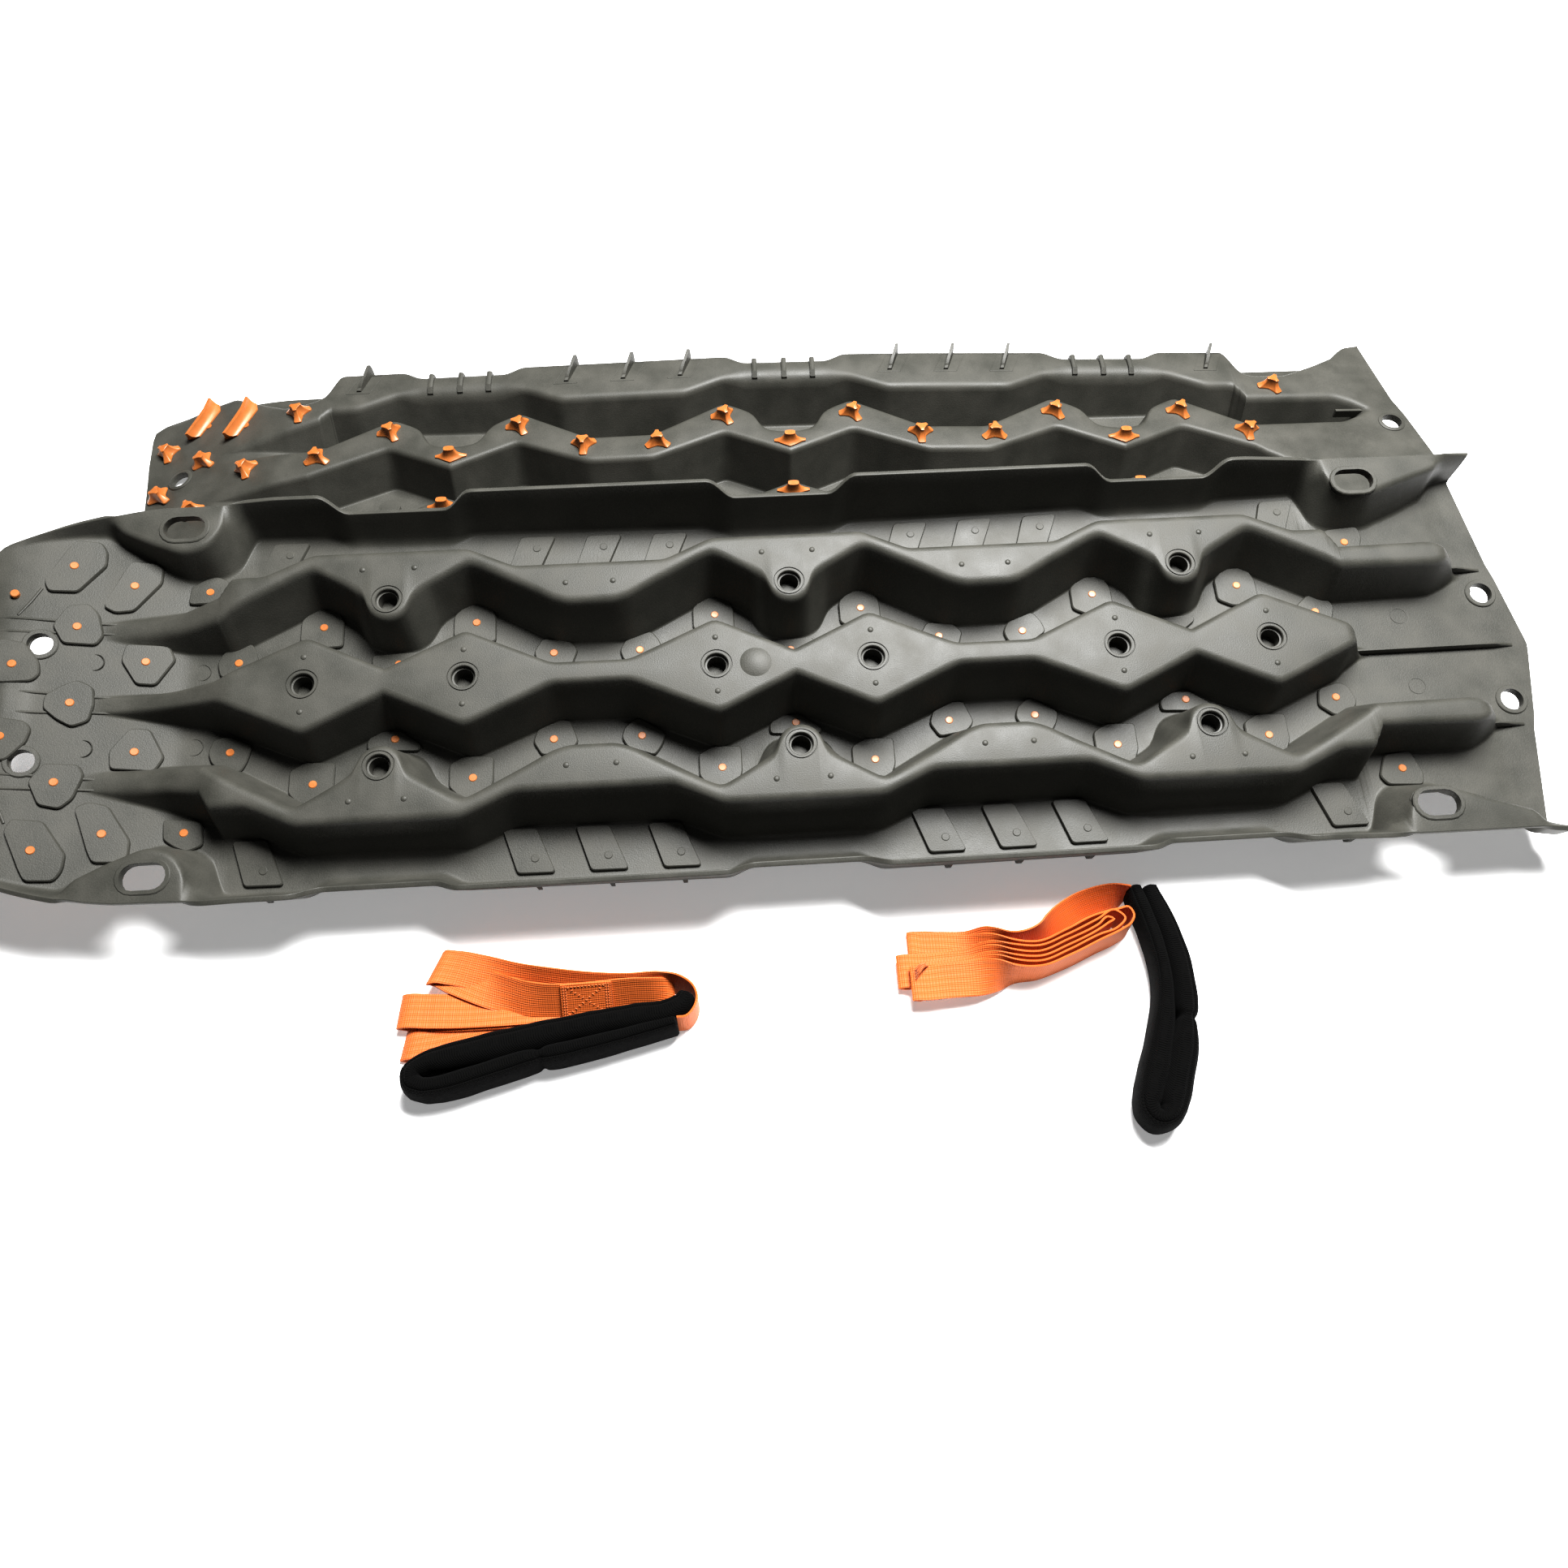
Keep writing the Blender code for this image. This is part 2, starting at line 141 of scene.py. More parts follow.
class Shapes:
    """Collects closed shapes, each a stack of rings, into one mesh."""

    def __init__(self):
        self.verts = []
        self.faces = []

    def rings(self, rings, cyclic=False):
        """Joins equal rings of points in order, and closes both ends, or joins the last to the first."""
        start = len(self.verts)
        count = len(rings[0])
        for ring in rings:
            self.verts += [tuple(point) for point in ring]
        pairs = list(zip(range(len(rings) - 1), range(1, len(rings))))
        if cyclic:
            pairs.append((len(rings) - 1, 0))
        for low, high in pairs:
            for k in range(count):
                after = (k + 1) % count
                self.faces.append((start + low * count + k, start + low * count + after,
                                   start + high * count + after, start + high * count + k))
        if not cyclic:
            self.faces.append(tuple(start + k for k in reversed(range(count))))
            self.faces.append(tuple(start + (len(rings) - 1) * count + k for k in range(count)))

    def lathe(self, profile, place=(0, 0, 0), segments=24, cyclic=False, tilt=None):
        """A turned shape: (radius, height) points about an upright axis at place."""
        turns = [2 * math.pi * k / segments for k in range(segments)]
        made = []
        for radius, height in profile:
            ring = [Vector((radius * math.cos(a), radius * math.sin(a), height)) for a in turns]
            if tilt:
                ring = [tilt @ point for point in ring]
            made.append([point + Vector(place) for point in ring])
        self.rings(made, cyclic)

    def mesh(self, name, smooth_angle=40):
        made = bpy.data.meshes.new(name)
        made.from_pydata([Vector(v) * MM for v in self.verts], [], self.faces)
        tidy = bmesh.new()
        tidy.from_mesh(made)
        bmesh.ops.recalc_face_normals(tidy, faces=tidy.faces)
        tidy.to_mesh(made)
        tidy.free()
        smooth(made, smooth_angle)
        return made


def smooth(mesh, angle=40):
    mesh.shade_smooth()
    mesh.set_sharp_from_angle(angle=math.radians(angle))


def round_corners(points, cut=3.0, steps=4):
    """A closed outline with each corner replaced by a curve that starts cut away from it."""
    made = []
    for k, point in enumerate(points):
        here, before, after = (Vector(p) for p in (point, points[k - 1], points[(k + 1) % len(points)]))
        start = here + (before - here) * min(cut / (before - here).length, 0.45)
        end = here + (after - here) * min(cut / (after - here).length, 0.45)
        for step in range(steps):
            s = step / (steps - 1)
            made.append(tuple(start * (1 - s) ** 2 + here * 2 * s * (1 - s) + end * s ** 2))
    return made


def inset(points, distance):
    """A closed outline drawn in towards its middle."""
    middle = np.mean(points, axis=0)
    drawn = []
    for point in points:
        reach = math.dist(point, middle)
        drawn.append(tuple(middle + (np.array(point) - middle) * (reach - distance) / reach))
    return drawn


# ---------------------------------------------------------------- board section

def deck_height(x):
    """Underside of the deck: slightly arched, ramping down to the scoop's lip."""
    return lerp(x, (SCOOP_TIP, 0.4), (-616, 1.0), (-600, 4.6), (-548, 19.0), (-494, 33.6), (-471, 35.6),
                (-400, 37.8), (-100, 46.9), (0, 47.1), (70, 46.2), (371, 37.6), (TAIL_APEX, 35.6))


def zigzag(x, pattern, scoop, tail):
    """A side line of a ridge: a pattern of distance-from-post points, with its own two ends."""
    line = lerp(from_post(x), *pattern)
    line = np.where(x < POSTS[0] - 120, lerp(x, *scoop), line)
    return np.where(x > POSTS[-1] + 120, lerp(x, *tail), line)


def section(x):
    """Half of the underside's cross-section at each x: 10 corners (y, z) from the middle to the rim."""
    deck = deck_height(x)
    to_scoop = lerp(x, (-551, 0), (-452, 1))
    middle = deck * (1 - to_scoop * lerp(x, (371, 1), (391, 0)))
    side = deck * (1 - to_scoop * lerp(x, (457, 1), (485, 0)))
    core = zigzag(x, ((0, 9.5), (57, 37.5), (120, 8)),
                  ((-583, 7.0), (-548, 5.5), (-494, 6.5), (-461, 8)), ((371, 6.5), (391, 3)))
    core_base = zigzag(x, ((0, 21), (57, 48), (120, 20.5)),
                       ((-583, 8), (-548, 6.7), (-494, 13), (-461, 19.5)), ((371, 18), (391, 4.5)))
    boss = ((0, 49.8), (4, 50.3), (8, 52), (11.5, 54.8), (14, 58.3), (15.6, 62.5), (17.2, 67.5), (20, 72),
            (25, 75.8), (34, 80.5), (48, 89), (57, 94), (66, 90.5), (80, 83), (100, 72.5), (120, 61),
            (131, 57))
    inner_base = zigzag(x, ((0, 41), (10, 42), (18, 44.5), (23, 48.5), (27, 55), (31, 64.5), (40, 71),
                            (57, 79.5), (120, 44)),
                        ((-548, 52), (-494, 45), (-461, 44)), ((371, 44), (457, 46), (485, 59)))
    inner = zigzag(x, boss, ((-548, 56), (-494, 54.5), (-461, 58)),
                   ((371, 57.5), (448, 56), (461, 60), (485, 62)))
    outer = zigzag(x, ((57, 106), (92, 89.5)),
                   ((-548, 65.5), (-494, 70), (-461, 78)), ((371, 73.5), (448, 74.5), (461, 70), (485, 66)))
    outer_base = zigzag(x, ((57, 118), (92, 102)),
                        ((-548, 67), (-494, 80), (-461, 92)), ((371, 84), (457, 84), (485, 69)))
    half = [(0 * x, middle), (core, middle), (core_base, deck), (inner_base, deck), (inner, side),
            (outer, side), (outer_base, deck)] + edge_section(x, deck)
    return np.stack([np.stack(corner, axis=-1) for corner in half], axis=-2)


def edge_section(x, deck):
    """The outer strip, its wall and the rim; near the corners the strip drops to a slotted pocket."""
    notch = np.where((x > MAIN_START) & (x < MAIN_END), lerp(from_post(x), (40, 1), (54, 0)), 0)
    rim_y = lerp(x, (SCOOP_TIP, 113), (-627, 120), (-624, 123), (-618, 127), (-600, 134.5), (-585, 139.3),
                 (-569, 143.8), (-552, 148), (-531, 152), (-514, 154), (-461, 155), (374, 154),
                 (385, 155.5)) - 7.5 * notch
    rim_z = lerp(x, (SCOOP_TIP, 0.1), (-616, 0.1), (-600, 0.8), (-548, 2.5), (-471, 3.8), (-430, 0),
                 (320, 0), (374.5, 5), (490, 6), (TAIL_APEX, 10))
    rim_z = np.maximum(rim_z, 12 * notch)
    plain = rim_y - lerp(x, (SCOOP_TIP, 7), (-600, 5), (-575, 5.5), (-548, 9), (-461, 10.5))
    base = np.where(x > MAIN_START, 143.5 - 6.5 * notch, plain)
    base = np.where((x > -558) & (x < -456),
                    lerp(x, (-558, 141), (-547, 133), (-518, 115.8), (-499.5, 105.6), (-476, 109),
                         (-466, 115), (-461, 121), (-458, 134), (-456, 143.5)), base)
    base = np.where(x > MAIN_END - 1,
                    lerp(x, (370, 143.5), (372, 131), (375, 121), (380, 113.5), (387, 109.5), (418, 109),
                         (449, 122), (498, 147), (TAIL_APEX, 150)), base)
    top = (base + rim_y) / 2
    top_z = (deck + rim_z) / 2
    scoop = (x > -552) & (x < -464)
    top = np.where(scoop, lerp(x, (-552, 146), (-545, 136.5), (-522, 125), (-499, 116), (-490, 116),
                               (-479, 120), (-471, 130), (-467, 140), (-464, 149)), top)
    top_z = np.where(scoop, lerp(x, (-552, 8), (-545, SCOOP_POCKET), (-467, SCOOP_POCKET), (-464, 9)), top_z)
    tail = x > 377
    top = np.where(tail, lerp(x, (377, 150), (380, 144), (385, 131), (390.6, 123), (408, 121), (476, 144),
                              (490, 149), (TAIL_APEX, 152)), top)
    top_z = np.where(tail, lerp(x, (377, 9), (380, TAIL_POCKET), (476, TAIL_POCKET), (490, 12),
                                (TAIL_APEX, 20)), top_z)
    return [(base, deck), (top, top_z), (rim_y, rim_z)]


def raised(line, distance):
    """Cross-section lines moved square to themselves, with mitred corners."""
    runs = np.diff(line, axis=1)
    runs = runs / np.maximum(np.linalg.norm(runs, axis=-1, keepdims=True), 1e-6)
    ups = np.stack([-runs[..., 1], runs[..., 0]], axis=-1)
    inner = (ups[:, :-1] + ups[:, 1:]) / (1 + np.sum(ups[:, :-1] * ups[:, 1:], axis=-1, keepdims=True))
    return line + distance * np.concatenate([ups[:, :1], inner, ups[:, -1:]], axis=1)


def filleted(loop, cut, steps=5):
    """Closed loops with each corner replaced by a curve that starts cut away from it."""
    before = np.roll(loop, 1, axis=1) - loop
    after = np.roll(loop, -1, axis=1) - loop
    long_before = np.maximum(np.linalg.norm(before, axis=-1, keepdims=True), 1e-6)
    long_after = np.maximum(np.linalg.norm(after, axis=-1, keepdims=True), 1e-6)
    start = loop + before / long_before * np.minimum(cut[..., None], 0.45 * long_before)
    end = loop + after / long_after * np.minimum(cut[..., None], 0.45 * long_after)
    rounds = [start * (1 - s) ** 2 + loop * 2 * s * (1 - s) + end * s ** 2 for s in np.linspace(0, 1, steps)]
    return np.stack(rounds, axis=2).reshape(len(loop), -1, 2)


def end_shift(x, y):
    """The lip is hollowed and the tail edge is a shallow vee, so the end stations are not straight."""
    bow = lerp(np.abs(y), (0, 13), (30, 9), (68, 2.5), (100, -2), (125, -2)) * np.clip((-590 - x) / 39, 0, 1)
    edge = -np.interp(np.abs(y), (0, 40, 70, 100, 128, 145, 158), (0, 6, 14, 23, 30, 27, 19))
    return bow + edge * np.clip((x - 470) / (TAIL_APEX - 470), 0, 1)


def under_lines(x):
    """The whole underside at each x, its turns along the board eased."""
    reach = lerp(from_post(x), (20, 1.5), (40, EASE))
    half = np.mean([section(x + share * reach) for share in np.linspace(-1, 1, 9)], axis=0)
    return np.concatenate([half[:, :0:-1] * (-1, 1), half], axis=1)


def board_loops(x):
    """Closed cross-section loops of the moulding at each x, with every edge rounded."""
    notch = np.where((x > MAIN_START) & (x < MAIN_END), lerp(from_post(x), (36, 1), (54, 0)), 0)
    one = np.ones_like(x)
    cuts = np.stack([0.3 * one, 5.0 * one, 1.6 * one, 1.6 * one, 5.5 * one, 5.0 * one, 2.0 + 3 * notch,
                     3.0 + 3 * notch, 4.5 * one, 0.9 * one], axis=1)
    cuts = np.concatenate([cuts[:, :0:-1], cuts], axis=1)
    top_cuts = np.stack([0.3 * one, 2.0 * one, 4.6 * one, 4.6 * one, 2.5 * one, 2.5 * one, 6.0 + 6 * notch,
                         4.5 + 5 * notch, 4.5 * one, 0.9 * one], axis=1)
    top_cuts = np.concatenate([top_cuts[:, :0:-1], top_cuts], axis=1)
    under = under_lines(x)
    over = raised(under, WALL)
    return filleted(np.concatenate([under, over[:, ::-1]], axis=1),
                    np.concatenate([cuts, top_cuts[:, ::-1]], axis=1))


def board_shell():
    near_posts = [np.arange(post - 30, post + 31, 1.5) for post in POSTS]
    x = np.unique(np.concatenate([np.arange(SCOOP_TIP, TAIL_APEX, STATION_STEP), [TAIL_APEX],
                                  np.arange(-470, -454, 1.5), np.arange(368, 392, 1.5)] + near_posts))
    loops = board_loops(x)
    count = loops.shape[1]
    long_way = x[:, None] + end_shift(x[:, None], loops[..., 0])
    verts = np.concatenate([long_way[..., None], loops], axis=-1).reshape(-1, 3) * MM
    rows = np.arange(len(x) - 1)[:, None] * count
    at = np.arange(count)[None, :]
    before = (at - 1) % count
    quads = np.stack([rows + before, rows + count + before, rows + count + at, rows + at], axis=-1)
    caps = []
    for first in (0, (len(x) - 1) * count):
        caps += [(first + k, first + k + 1, first + count - k - 2, first + count - k - 1)
                 for k in range(count // 2 - 1)]
    mesh = bpy.data.meshes.new("board_shell")
    mesh.from_pydata(verts.tolist(), [], quads.reshape(-1, 4).tolist() + caps)
    return mesh


def stadium(place, length, width, grow=0.0, steps=8):
    """A slot's outline with round ends."""
    points = []
    for end, turn in ((1, -math.pi / 2), (-1, math.pi / 2)):
        for k in range(steps + 1):
            angle = turn + math.pi * k / steps
            points.append((place[0] + end * (length - width) / 2 + (width / 2 + grow) * math.cos(angle),
                           place[1] + (width / 2 + grow) * math.sin(angle)))
    return points


def bore_places():
    places = []
    for post in POSTS:
        places += [(post - DIAMOND, 0.0), (post + DIAMOND, 0.0), (post, POST_Y), (post, -POST_Y)]
    return places


def openings_mesh():
    cutters = Shapes()
    for x, y in bore_places():
        cutters.lathe(((BORE_R + 4, -3), (BORE_R + 0.5, 0.5), (BORE_R + 0.3, 3.0), (BORE_R - 1, 3.2),
                       (BORE_R - 1, 22)), (x, y, 0), 40)
        cutters.lathe(((COLLAR_R - 0.4, -1), (COLLAR_R, 0.8), (COLLAR_R + 0.5, 0.8), (COLLAR_R + 1.2, -1)),
                      (x, y, 0), 40, True)
    for x, y in HOLES:
        for side in (-1, 1):
            cutters.lathe(((HOLE_R, -14), (HOLE_R, 14)), (x, side * y, float(deck_height(x))), 32)
    for (x, y), level in zip(SLOTS, (SCOOP_POCKET, TAIL_POCKET)):
        for side in (-1, 1):
            outline = stadium((x, side * y), SLOT_LENGTH, SLOT_WIDTH)
            cutters.rings([[(px, py, level + z) for px, py in outline] for z in (-9, 13)])
    return cutters.mesh("openings")


def board_mesh():
    """The moulding with its openings cut, made once and used for both boards."""
    board = new_object("board_build", board_shell())
    normals = bmesh.new()
    normals.from_mesh(board.data)
    bmesh.ops.recalc_face_normals(normals, faces=normals.faces)
    normals.to_mesh(board.data)
    normals.free()
    cutter = new_object("openings_build", openings_mesh())
    cut = board.modifiers.new("openings", "BOOLEAN")
    cut.object = cutter
    cut.solver = "EXACT"
    bpy.context.view_layer.update()
    seen = board.evaluated_get(bpy.context.evaluated_depsgraph_get())
    mesh = bpy.data.meshes.new_from_object(seen)
    mesh.name = "board_moulding"
    bpy.data.objects.remove(board)
    bpy.data.objects.remove(cutter)
    smooth(mesh, 38)
    return mesh


# ---------------------------------------------------------------- what is moulded on the board

# Outlines (x, distance from the middle) of the low pads that the teeth are pinned through.
SCOOP_PADS = (
    ((-474, 36), (-471, 25), (-460, 23), (-443, 31), (-446, 44), (-450, 52), (-460, 53), (-471, 44)),
    ((-536, 49.5), (-508, 50), (-503, 39), (-514, 17.5), (-526.5, 17.5), (-538, 36)),
    ((-576, 78), (-563, 80.5), (-556, 73), (-551, 55), (-555, 47), (-576, 47), (-584, 61)),
    ((-554, 79), (-546, 74.5), (-534, 77), (-518, 102), (-518, 115), (-523, 118.5), (-539, 119),
     (-543.5, 110)),
    ((-593.5, 97), (-590, 88.5), (-571.5, 89.5), (-555.5, 113), (-556, 125), (-560, 132.5), (-577, 133),
     (-582, 124)),
    ((-615, 48), (-599, 45.5), (-589, 32), (-587, 21.5), (-591, 15.5), (-612, 13), (-617, 30)),
    ((-499, 86), (-498, 101), (-490, 107), (-481, 110.5), (-471, 106), (-473, 89), (-480, 87)),
)
MIDDLE_PAD = ((-582, -5), (-582, 5), (-573, 13), (-563, 18.5), (-553, 13.5), (-551, 0), (-553, -13.5),
              (-563, -18.5), (-573, -13))
TAIL_PADS = (
    ((350, 42), (352.5, 28.7), (368.9, 23.8), (376, 28), (380, 41), (376, 47), (361, 51.5)),
    ((383, 101.6), (389.7, 84.9), (409.8, 82.7), (416, 101), (414, 110), (388, 108.5)),
)
PEAK_PAD = ((-17, 52), (-17, 70), (-8, 79), (10, 79), (15, 68), (15, 47), (-6, 46))
POST_PAD = ((-20, 30), (-9, 23.5), (4, 24), (19.5, 36), (17.5, 40.5), (-20, 38.3))
AFTER_PAD = ((-15, 37), (-12, 27.5), (5, 19.8), (12.5, 21), (18.5, 38), (12.5, 45), (-8.5, 48))
BEFORE_PAD = ((-15, 36), (-12.5, 27.7), (-2.5, 20.4), (18, 34), (15.5, 43), (9.5, 51.5), (-11, 44))
BLADE_PAD = ((-20.5, 104), (4, 104), (17.5, 138), (-9.5, 138))
PAD_SINK, PAD_RISE, PAD_CHAMFER = 1.0, 2.8, 0.8


def slab(shapes, outline, side, start=0.0):
    """A low pad under the deck, from start along the board: sunk a little into it and standing off it."""
    moved = [(start + x, y) for x, y in outline] if start else outline
    flat = [(x, side * y) for x, y in round_corners(moved)]
    small = inset(flat, PAD_CHAMFER)
    shapes.rings([[(x, y, under_deck(x) + PAD_SINK) for x, y in flat],
                  [(x, y, under_deck(x) + (PAD_CHAMFER - PAD_RISE)) for x, y in flat],
                  [(x, y, under_deck(x) - PAD_RISE) for x, y in small]])


def rib(shapes, line, width, level, sink, rise):
    """A thin rib along (x, y, share of height) points, on a face at level(x)."""
    rings = []
    for k, (x, y, share) in enumerate(line):
        before, after = line[max(k - 1, 0)], line[min(k + 1, len(line) - 1)]
        run = Vector((after[0] - before[0], after[1] - before[1])).normalized()
        across = Vector((-run.y, run.x)) * width / 2
        base, top = level(x), level(x) + rise * share
        low = base - math.copysign(sink, rise)
        rings.append([(x - across.x, y - across.y, low), (x + across.x, y + across.y, low),
                      (x + across.x * 0.9, y + across.y * 0.9, base + (top - base) * 0.75),
                      (x + across.x * 0.45, y + across.y * 0.45, top),
                      (x - across.x * 0.45, y - across.y * 0.45, top),
                      (x - across.x * 0.9, y - across.y * 0.9, base + (top - base) * 0.75)])
    shapes.rings(rings)


def under_deck(x):
    return float(deck_height(x))


def deck_slope(x):
    """How far the deck dips towards the tail, as a turn about Y."""
    return math.atan2(float(deck_height(x - 5) - deck_height(x + 5)), 10)


def top_deck(x):
    return under_deck(x) + WALL / math.cos(deck_slope(x))


def add_pads(shapes):
    for side in (-1, 1):
        for outline in SCOOP_PADS + TAIL_PADS:
            slab(shapes, outline, side)
        for post in POSTS:
            for x, outline in ((post - DIAMOND, PEAK_PAD), (post, POST_PAD), (post + DIAMOND, PEAK_PAD)):
                slab(shapes, outline, side, x)
        for post, following in zip(POSTS, POSTS[1:]):
            slab(shapes, AFTER_PAD, side, post + VALLEY_STEP)
            slab(shapes, BEFORE_PAD, side, following - VALLEY_STEP)
        for x in BLADE_PLACES:
            slab(shapes, BLADE_PAD, side, x)
            level = under_deck(x + 2)
            dot = ((3.0, level), (3.0, level - 2.3), (2.6, level - 2.6))
            shapes.lathe(dot, (x + 3, side * 127, -0.7), 20)
    slab(shapes, MIDDLE_PAD, 1)


def add_rings_and_dots(shapes):
    for x, y in bore_places():
        tube = ((BORE_R - 1, 3.4), (BORE_R + 1.4, 3.4), (BORE_R + 1.2, 15), (BORE_R - 1, 15))
        shapes.lathe(tube, (x, y, 0), 40, True)
        shapes.lathe(((BORE_R - 0.2, 13.4), (BORE_R - 0.2, 14.6), (BORE_R - 0.8, 15.4)), (x, y, 0), 40)
    for x, y in HOLES:
        for side in (-1, 1):
            lean = Matrix.Rotation(deck_slope(x), 3, "Y")
            base = under_deck(x)
            shapes.lathe(((8.6, 1.0), (8.6, -1.2), (11.4, -1.2), (12.0, -0.7), (12.0, 1.0)),
                         (x, side * y, base), 32, True, lean)
            shapes.lathe(((8.6, -1.0), (8.6, 1.0), (11.0, 1.0), (11.8, 0.5), (11.8, -1.0)),
                         (x, side * y, base + WALL), 32, True, lean)
    for (x, y), level in zip(SLOTS, (SCOOP_POCKET, TAIL_POCKET)):
        for side in (-1, 1):
            for height, way in ((level, -1), (level + WALL, 1)):
                rings = [[(px, py, height + way * z) for px, py in stadium((x, side * y), SLOT_LENGTH,
                                                                           SLOT_WIDTH, grow)]
                         for grow, z in ((0.1, -1.0), (0.1, 1.1), (2.7, 1.1), (3.4, 0.5), (3.4, -1.0))]
                shapes.rings(rings, cyclic=True)
    dots = []
    for post in POSTS:
        dots += [(post + reach, 21.5) for reach in (-DIAMOND, DIAMOND)]
        dots += [(post + reach, 91.0) for reach in (-19, 19)]
    for middle in MIDDLES:
        dots += [(middle + reach, 72.5) for reach in (-17.5, 17.5)]
    for x, y in dots:
        for side in (-1, 1):
            shapes.lathe(((2.2, 0.8), (2.1, -0.3), (1.5, -0.8), (0.7, -1.0)), (x, side * y, 0), 16)
    shapes.lathe(((11.5, 0.8), (11.5, 0), (10.0, -0.5), (7.4, -1.2), (4.0, -1.75), (1.2, -1.95)),
                 (-73.5, 0, 0), 36)
    for x, y in ((-555, 34), (-485, 30), (430, 30)):
        for side in (-1, 1):
            base = under_deck(x)
            shapes.lathe(((6.2, base + 0.8), (6.2, base - 0.25), (6.6, base - 0.25), (6.6, base + 0.8)),
                         (x, side * y, 0), 28, True)


def add_ribs(shapes):
    for side in (-1, 1):
        for line in (((-622, 8.0, 0.3), (-610, 8.2, 1), (-583, 7.6, 1), (-556, 6.2, 1), (-540, 6.0, 1)),
                     ((-622, 55.2, 0.3), (-610, 55.1, 1), (-583, 55.8, 1), (-556, 57.0, 1), (-540, 57.6, 1)),
                     ((-622, 66, 0.3), (-610, 65.9, 1), (-583, 65.6, 1), (-556, 65.3, 1), (-540, 65.4, 1)),
                     ((-607, 68.4, 0.8), (-600, 80, 1), (-594.8, 91.4, 0.8))):
            rib(shapes, [(x, side * y, s) for x, y, s in line], 2.0, under_deck, 0.8, -1.2)
        rib(shapes, [(x, side * 66.0, s) for x, s in ((455, 1), (481, 1), (488, 0.75), (497, 0.35),
                                                      (503, 0.1))], 2.6, under_deck, 0.8, -7.0)
    rib(shapes, [(x, 0.0, s) for x, s in ((380, 1), (392, 1), (480, 1), (497, 0.9), (507, 0.35), (512, 0.1))],
        2.6, under_deck, 0.8, -5.5)


def add_blades(shapes):
    """Thin barbed blades along both edges of the deck, and the low ribs at the waists."""
    profile = ((121.5, 0.16), (124.5, 0.22), (126, 0.38), (133, 0.68), (134.2, 0.60), (141, 0.88),
               (145.6, 1.0), (147, 0.6))
    for side in (-1, 1):
        for place in BLADE_PLACES:
            rings = []
            for reach, share in profile:
                x = place - 3.5 + (reach - 122) * 8.5 / 25
                base = top_deck(x) - 1.5 - max(0, reach - 143) * 1.2
                top = top_deck(x) + 10.0 * share
                y = side * reach
                rings.append([(x - 2.5, y, base), (x + 2.5, y, base), (x + 2.0, y, base + 2.4),
                              (x + 1.4, y, top), (x - 1.4, y, top), (x - 2.0, y, base + 2.4)])
            shapes.rings(rings)
            base = top_deck(place)
            frame = [(-15, 119), (6, 119), (16, 143), (-5, 143)]
            for (ax, ay), (bx, by) in zip(frame, frame[1:] + frame[:1]):
                rib(shapes, [(place + ax, side * ay, 1), (place + bx, side * by, 1)], 0.9, top_deck,
                    0.5, 0.35)
        for post in POSTS:
            for reach in NOTCH_RIBS:
                rib(shapes, [(post + reach, side * 116.5, -0.6),
                             (post + reach, side * 121, 0.8), (post + reach, side * 131, 1),
                             (post + reach, side * 137.5, 1.2), (post + reach, side * 140.5, -0.6)],
                    5.0, top_deck, 3.2, 2.8)


def board_details():
    shapes = Shapes()
    add_pads(shapes)
    add_rings_and_dots(shapes)
    add_ribs(shapes)
    add_blades(shapes)
    return shapes.mesh("board_details", 35)


# ---------------------------------------------------------------- teeth

# A tooth's outline as (angle from a leg, reach), and its rings as (height, core reach, share of the legs).
LEG = ((0, 11.7), (8, 11.8), (14, 11.6), (17.5, 11.0), (20, 9.9), (25, 8.1), (33, 6.7), (45, 5.6), (60, 5.1))
CORE = 5.2
STAR_RINGS = ((0.0, 5.4, 1.0), (1.1, 5.4, 1.0), (1.5, 5.0, 0.95), (2.2, 4.6, 0.85), (3.4, 4.0, 0.70),
              (5.0, 3.5, 0.55), (6.8, 3.2, 0.43), (8.3, 3.1, 0.36), (9.2, 3.3, 0.35), (9.5, 3.0, 0.31))
# The two-tipped tooth beside a post: its foot and its cap, as (x, towards the board's middle).
BOAT_FOOT = ((13.8, -1.2), (13.6, 1.4), (10.5, 2.2), (5.5, 5.2), (0, 8.0), (-5.5, 5.2), (-10.5, 2.2),
             (-13.6, 1.4), (-13.8, -1.2), (-9.5, -2.4), (-5, -4.6), (0, -5.0), (5, -4.6), (9.5, -2.4))
BOAT_CAP = ((4.6, -0.6), (4.5, 0.8), (4.0, 1.9), (2.3, 2.4), (0, 2.6), (-2.3, 2.4), (-4.0, 1.9), (-4.5, 0.8),
            (-4.6, -0.6), (-4.4, -1.9), (-3, -2.9), (0, -3.2), (3, -2.9), (4.4, -1.9))
# The long teeth of the scoop, as (x, distance from the middle).
BAR_FOOT = ((-556, 86), (-543, 86), (-534, 104), (-528.5, 116), (-531, 124), (-540, 128), (-543.5, 117),
            (-549, 103))
BAR_CAP = ((-551.5, 82.5), (-548.5, 82), (-540, 100), (-535.5, 112), (-534.5, 125), (-537.5, 127),
           (-539.5, 113), (-543.5, 102))
LOFT = ((0.0, 0.0), (1.2, 0.0), (1.6, 0.15), (2.6, 0.5), (4.5, 0.8), (7.0, 0.95), (8.8, 1.0), (9.4, 1.0))
BAR_PIN = (-537.0, 98.0)
PIN_DEPTH = 7.4

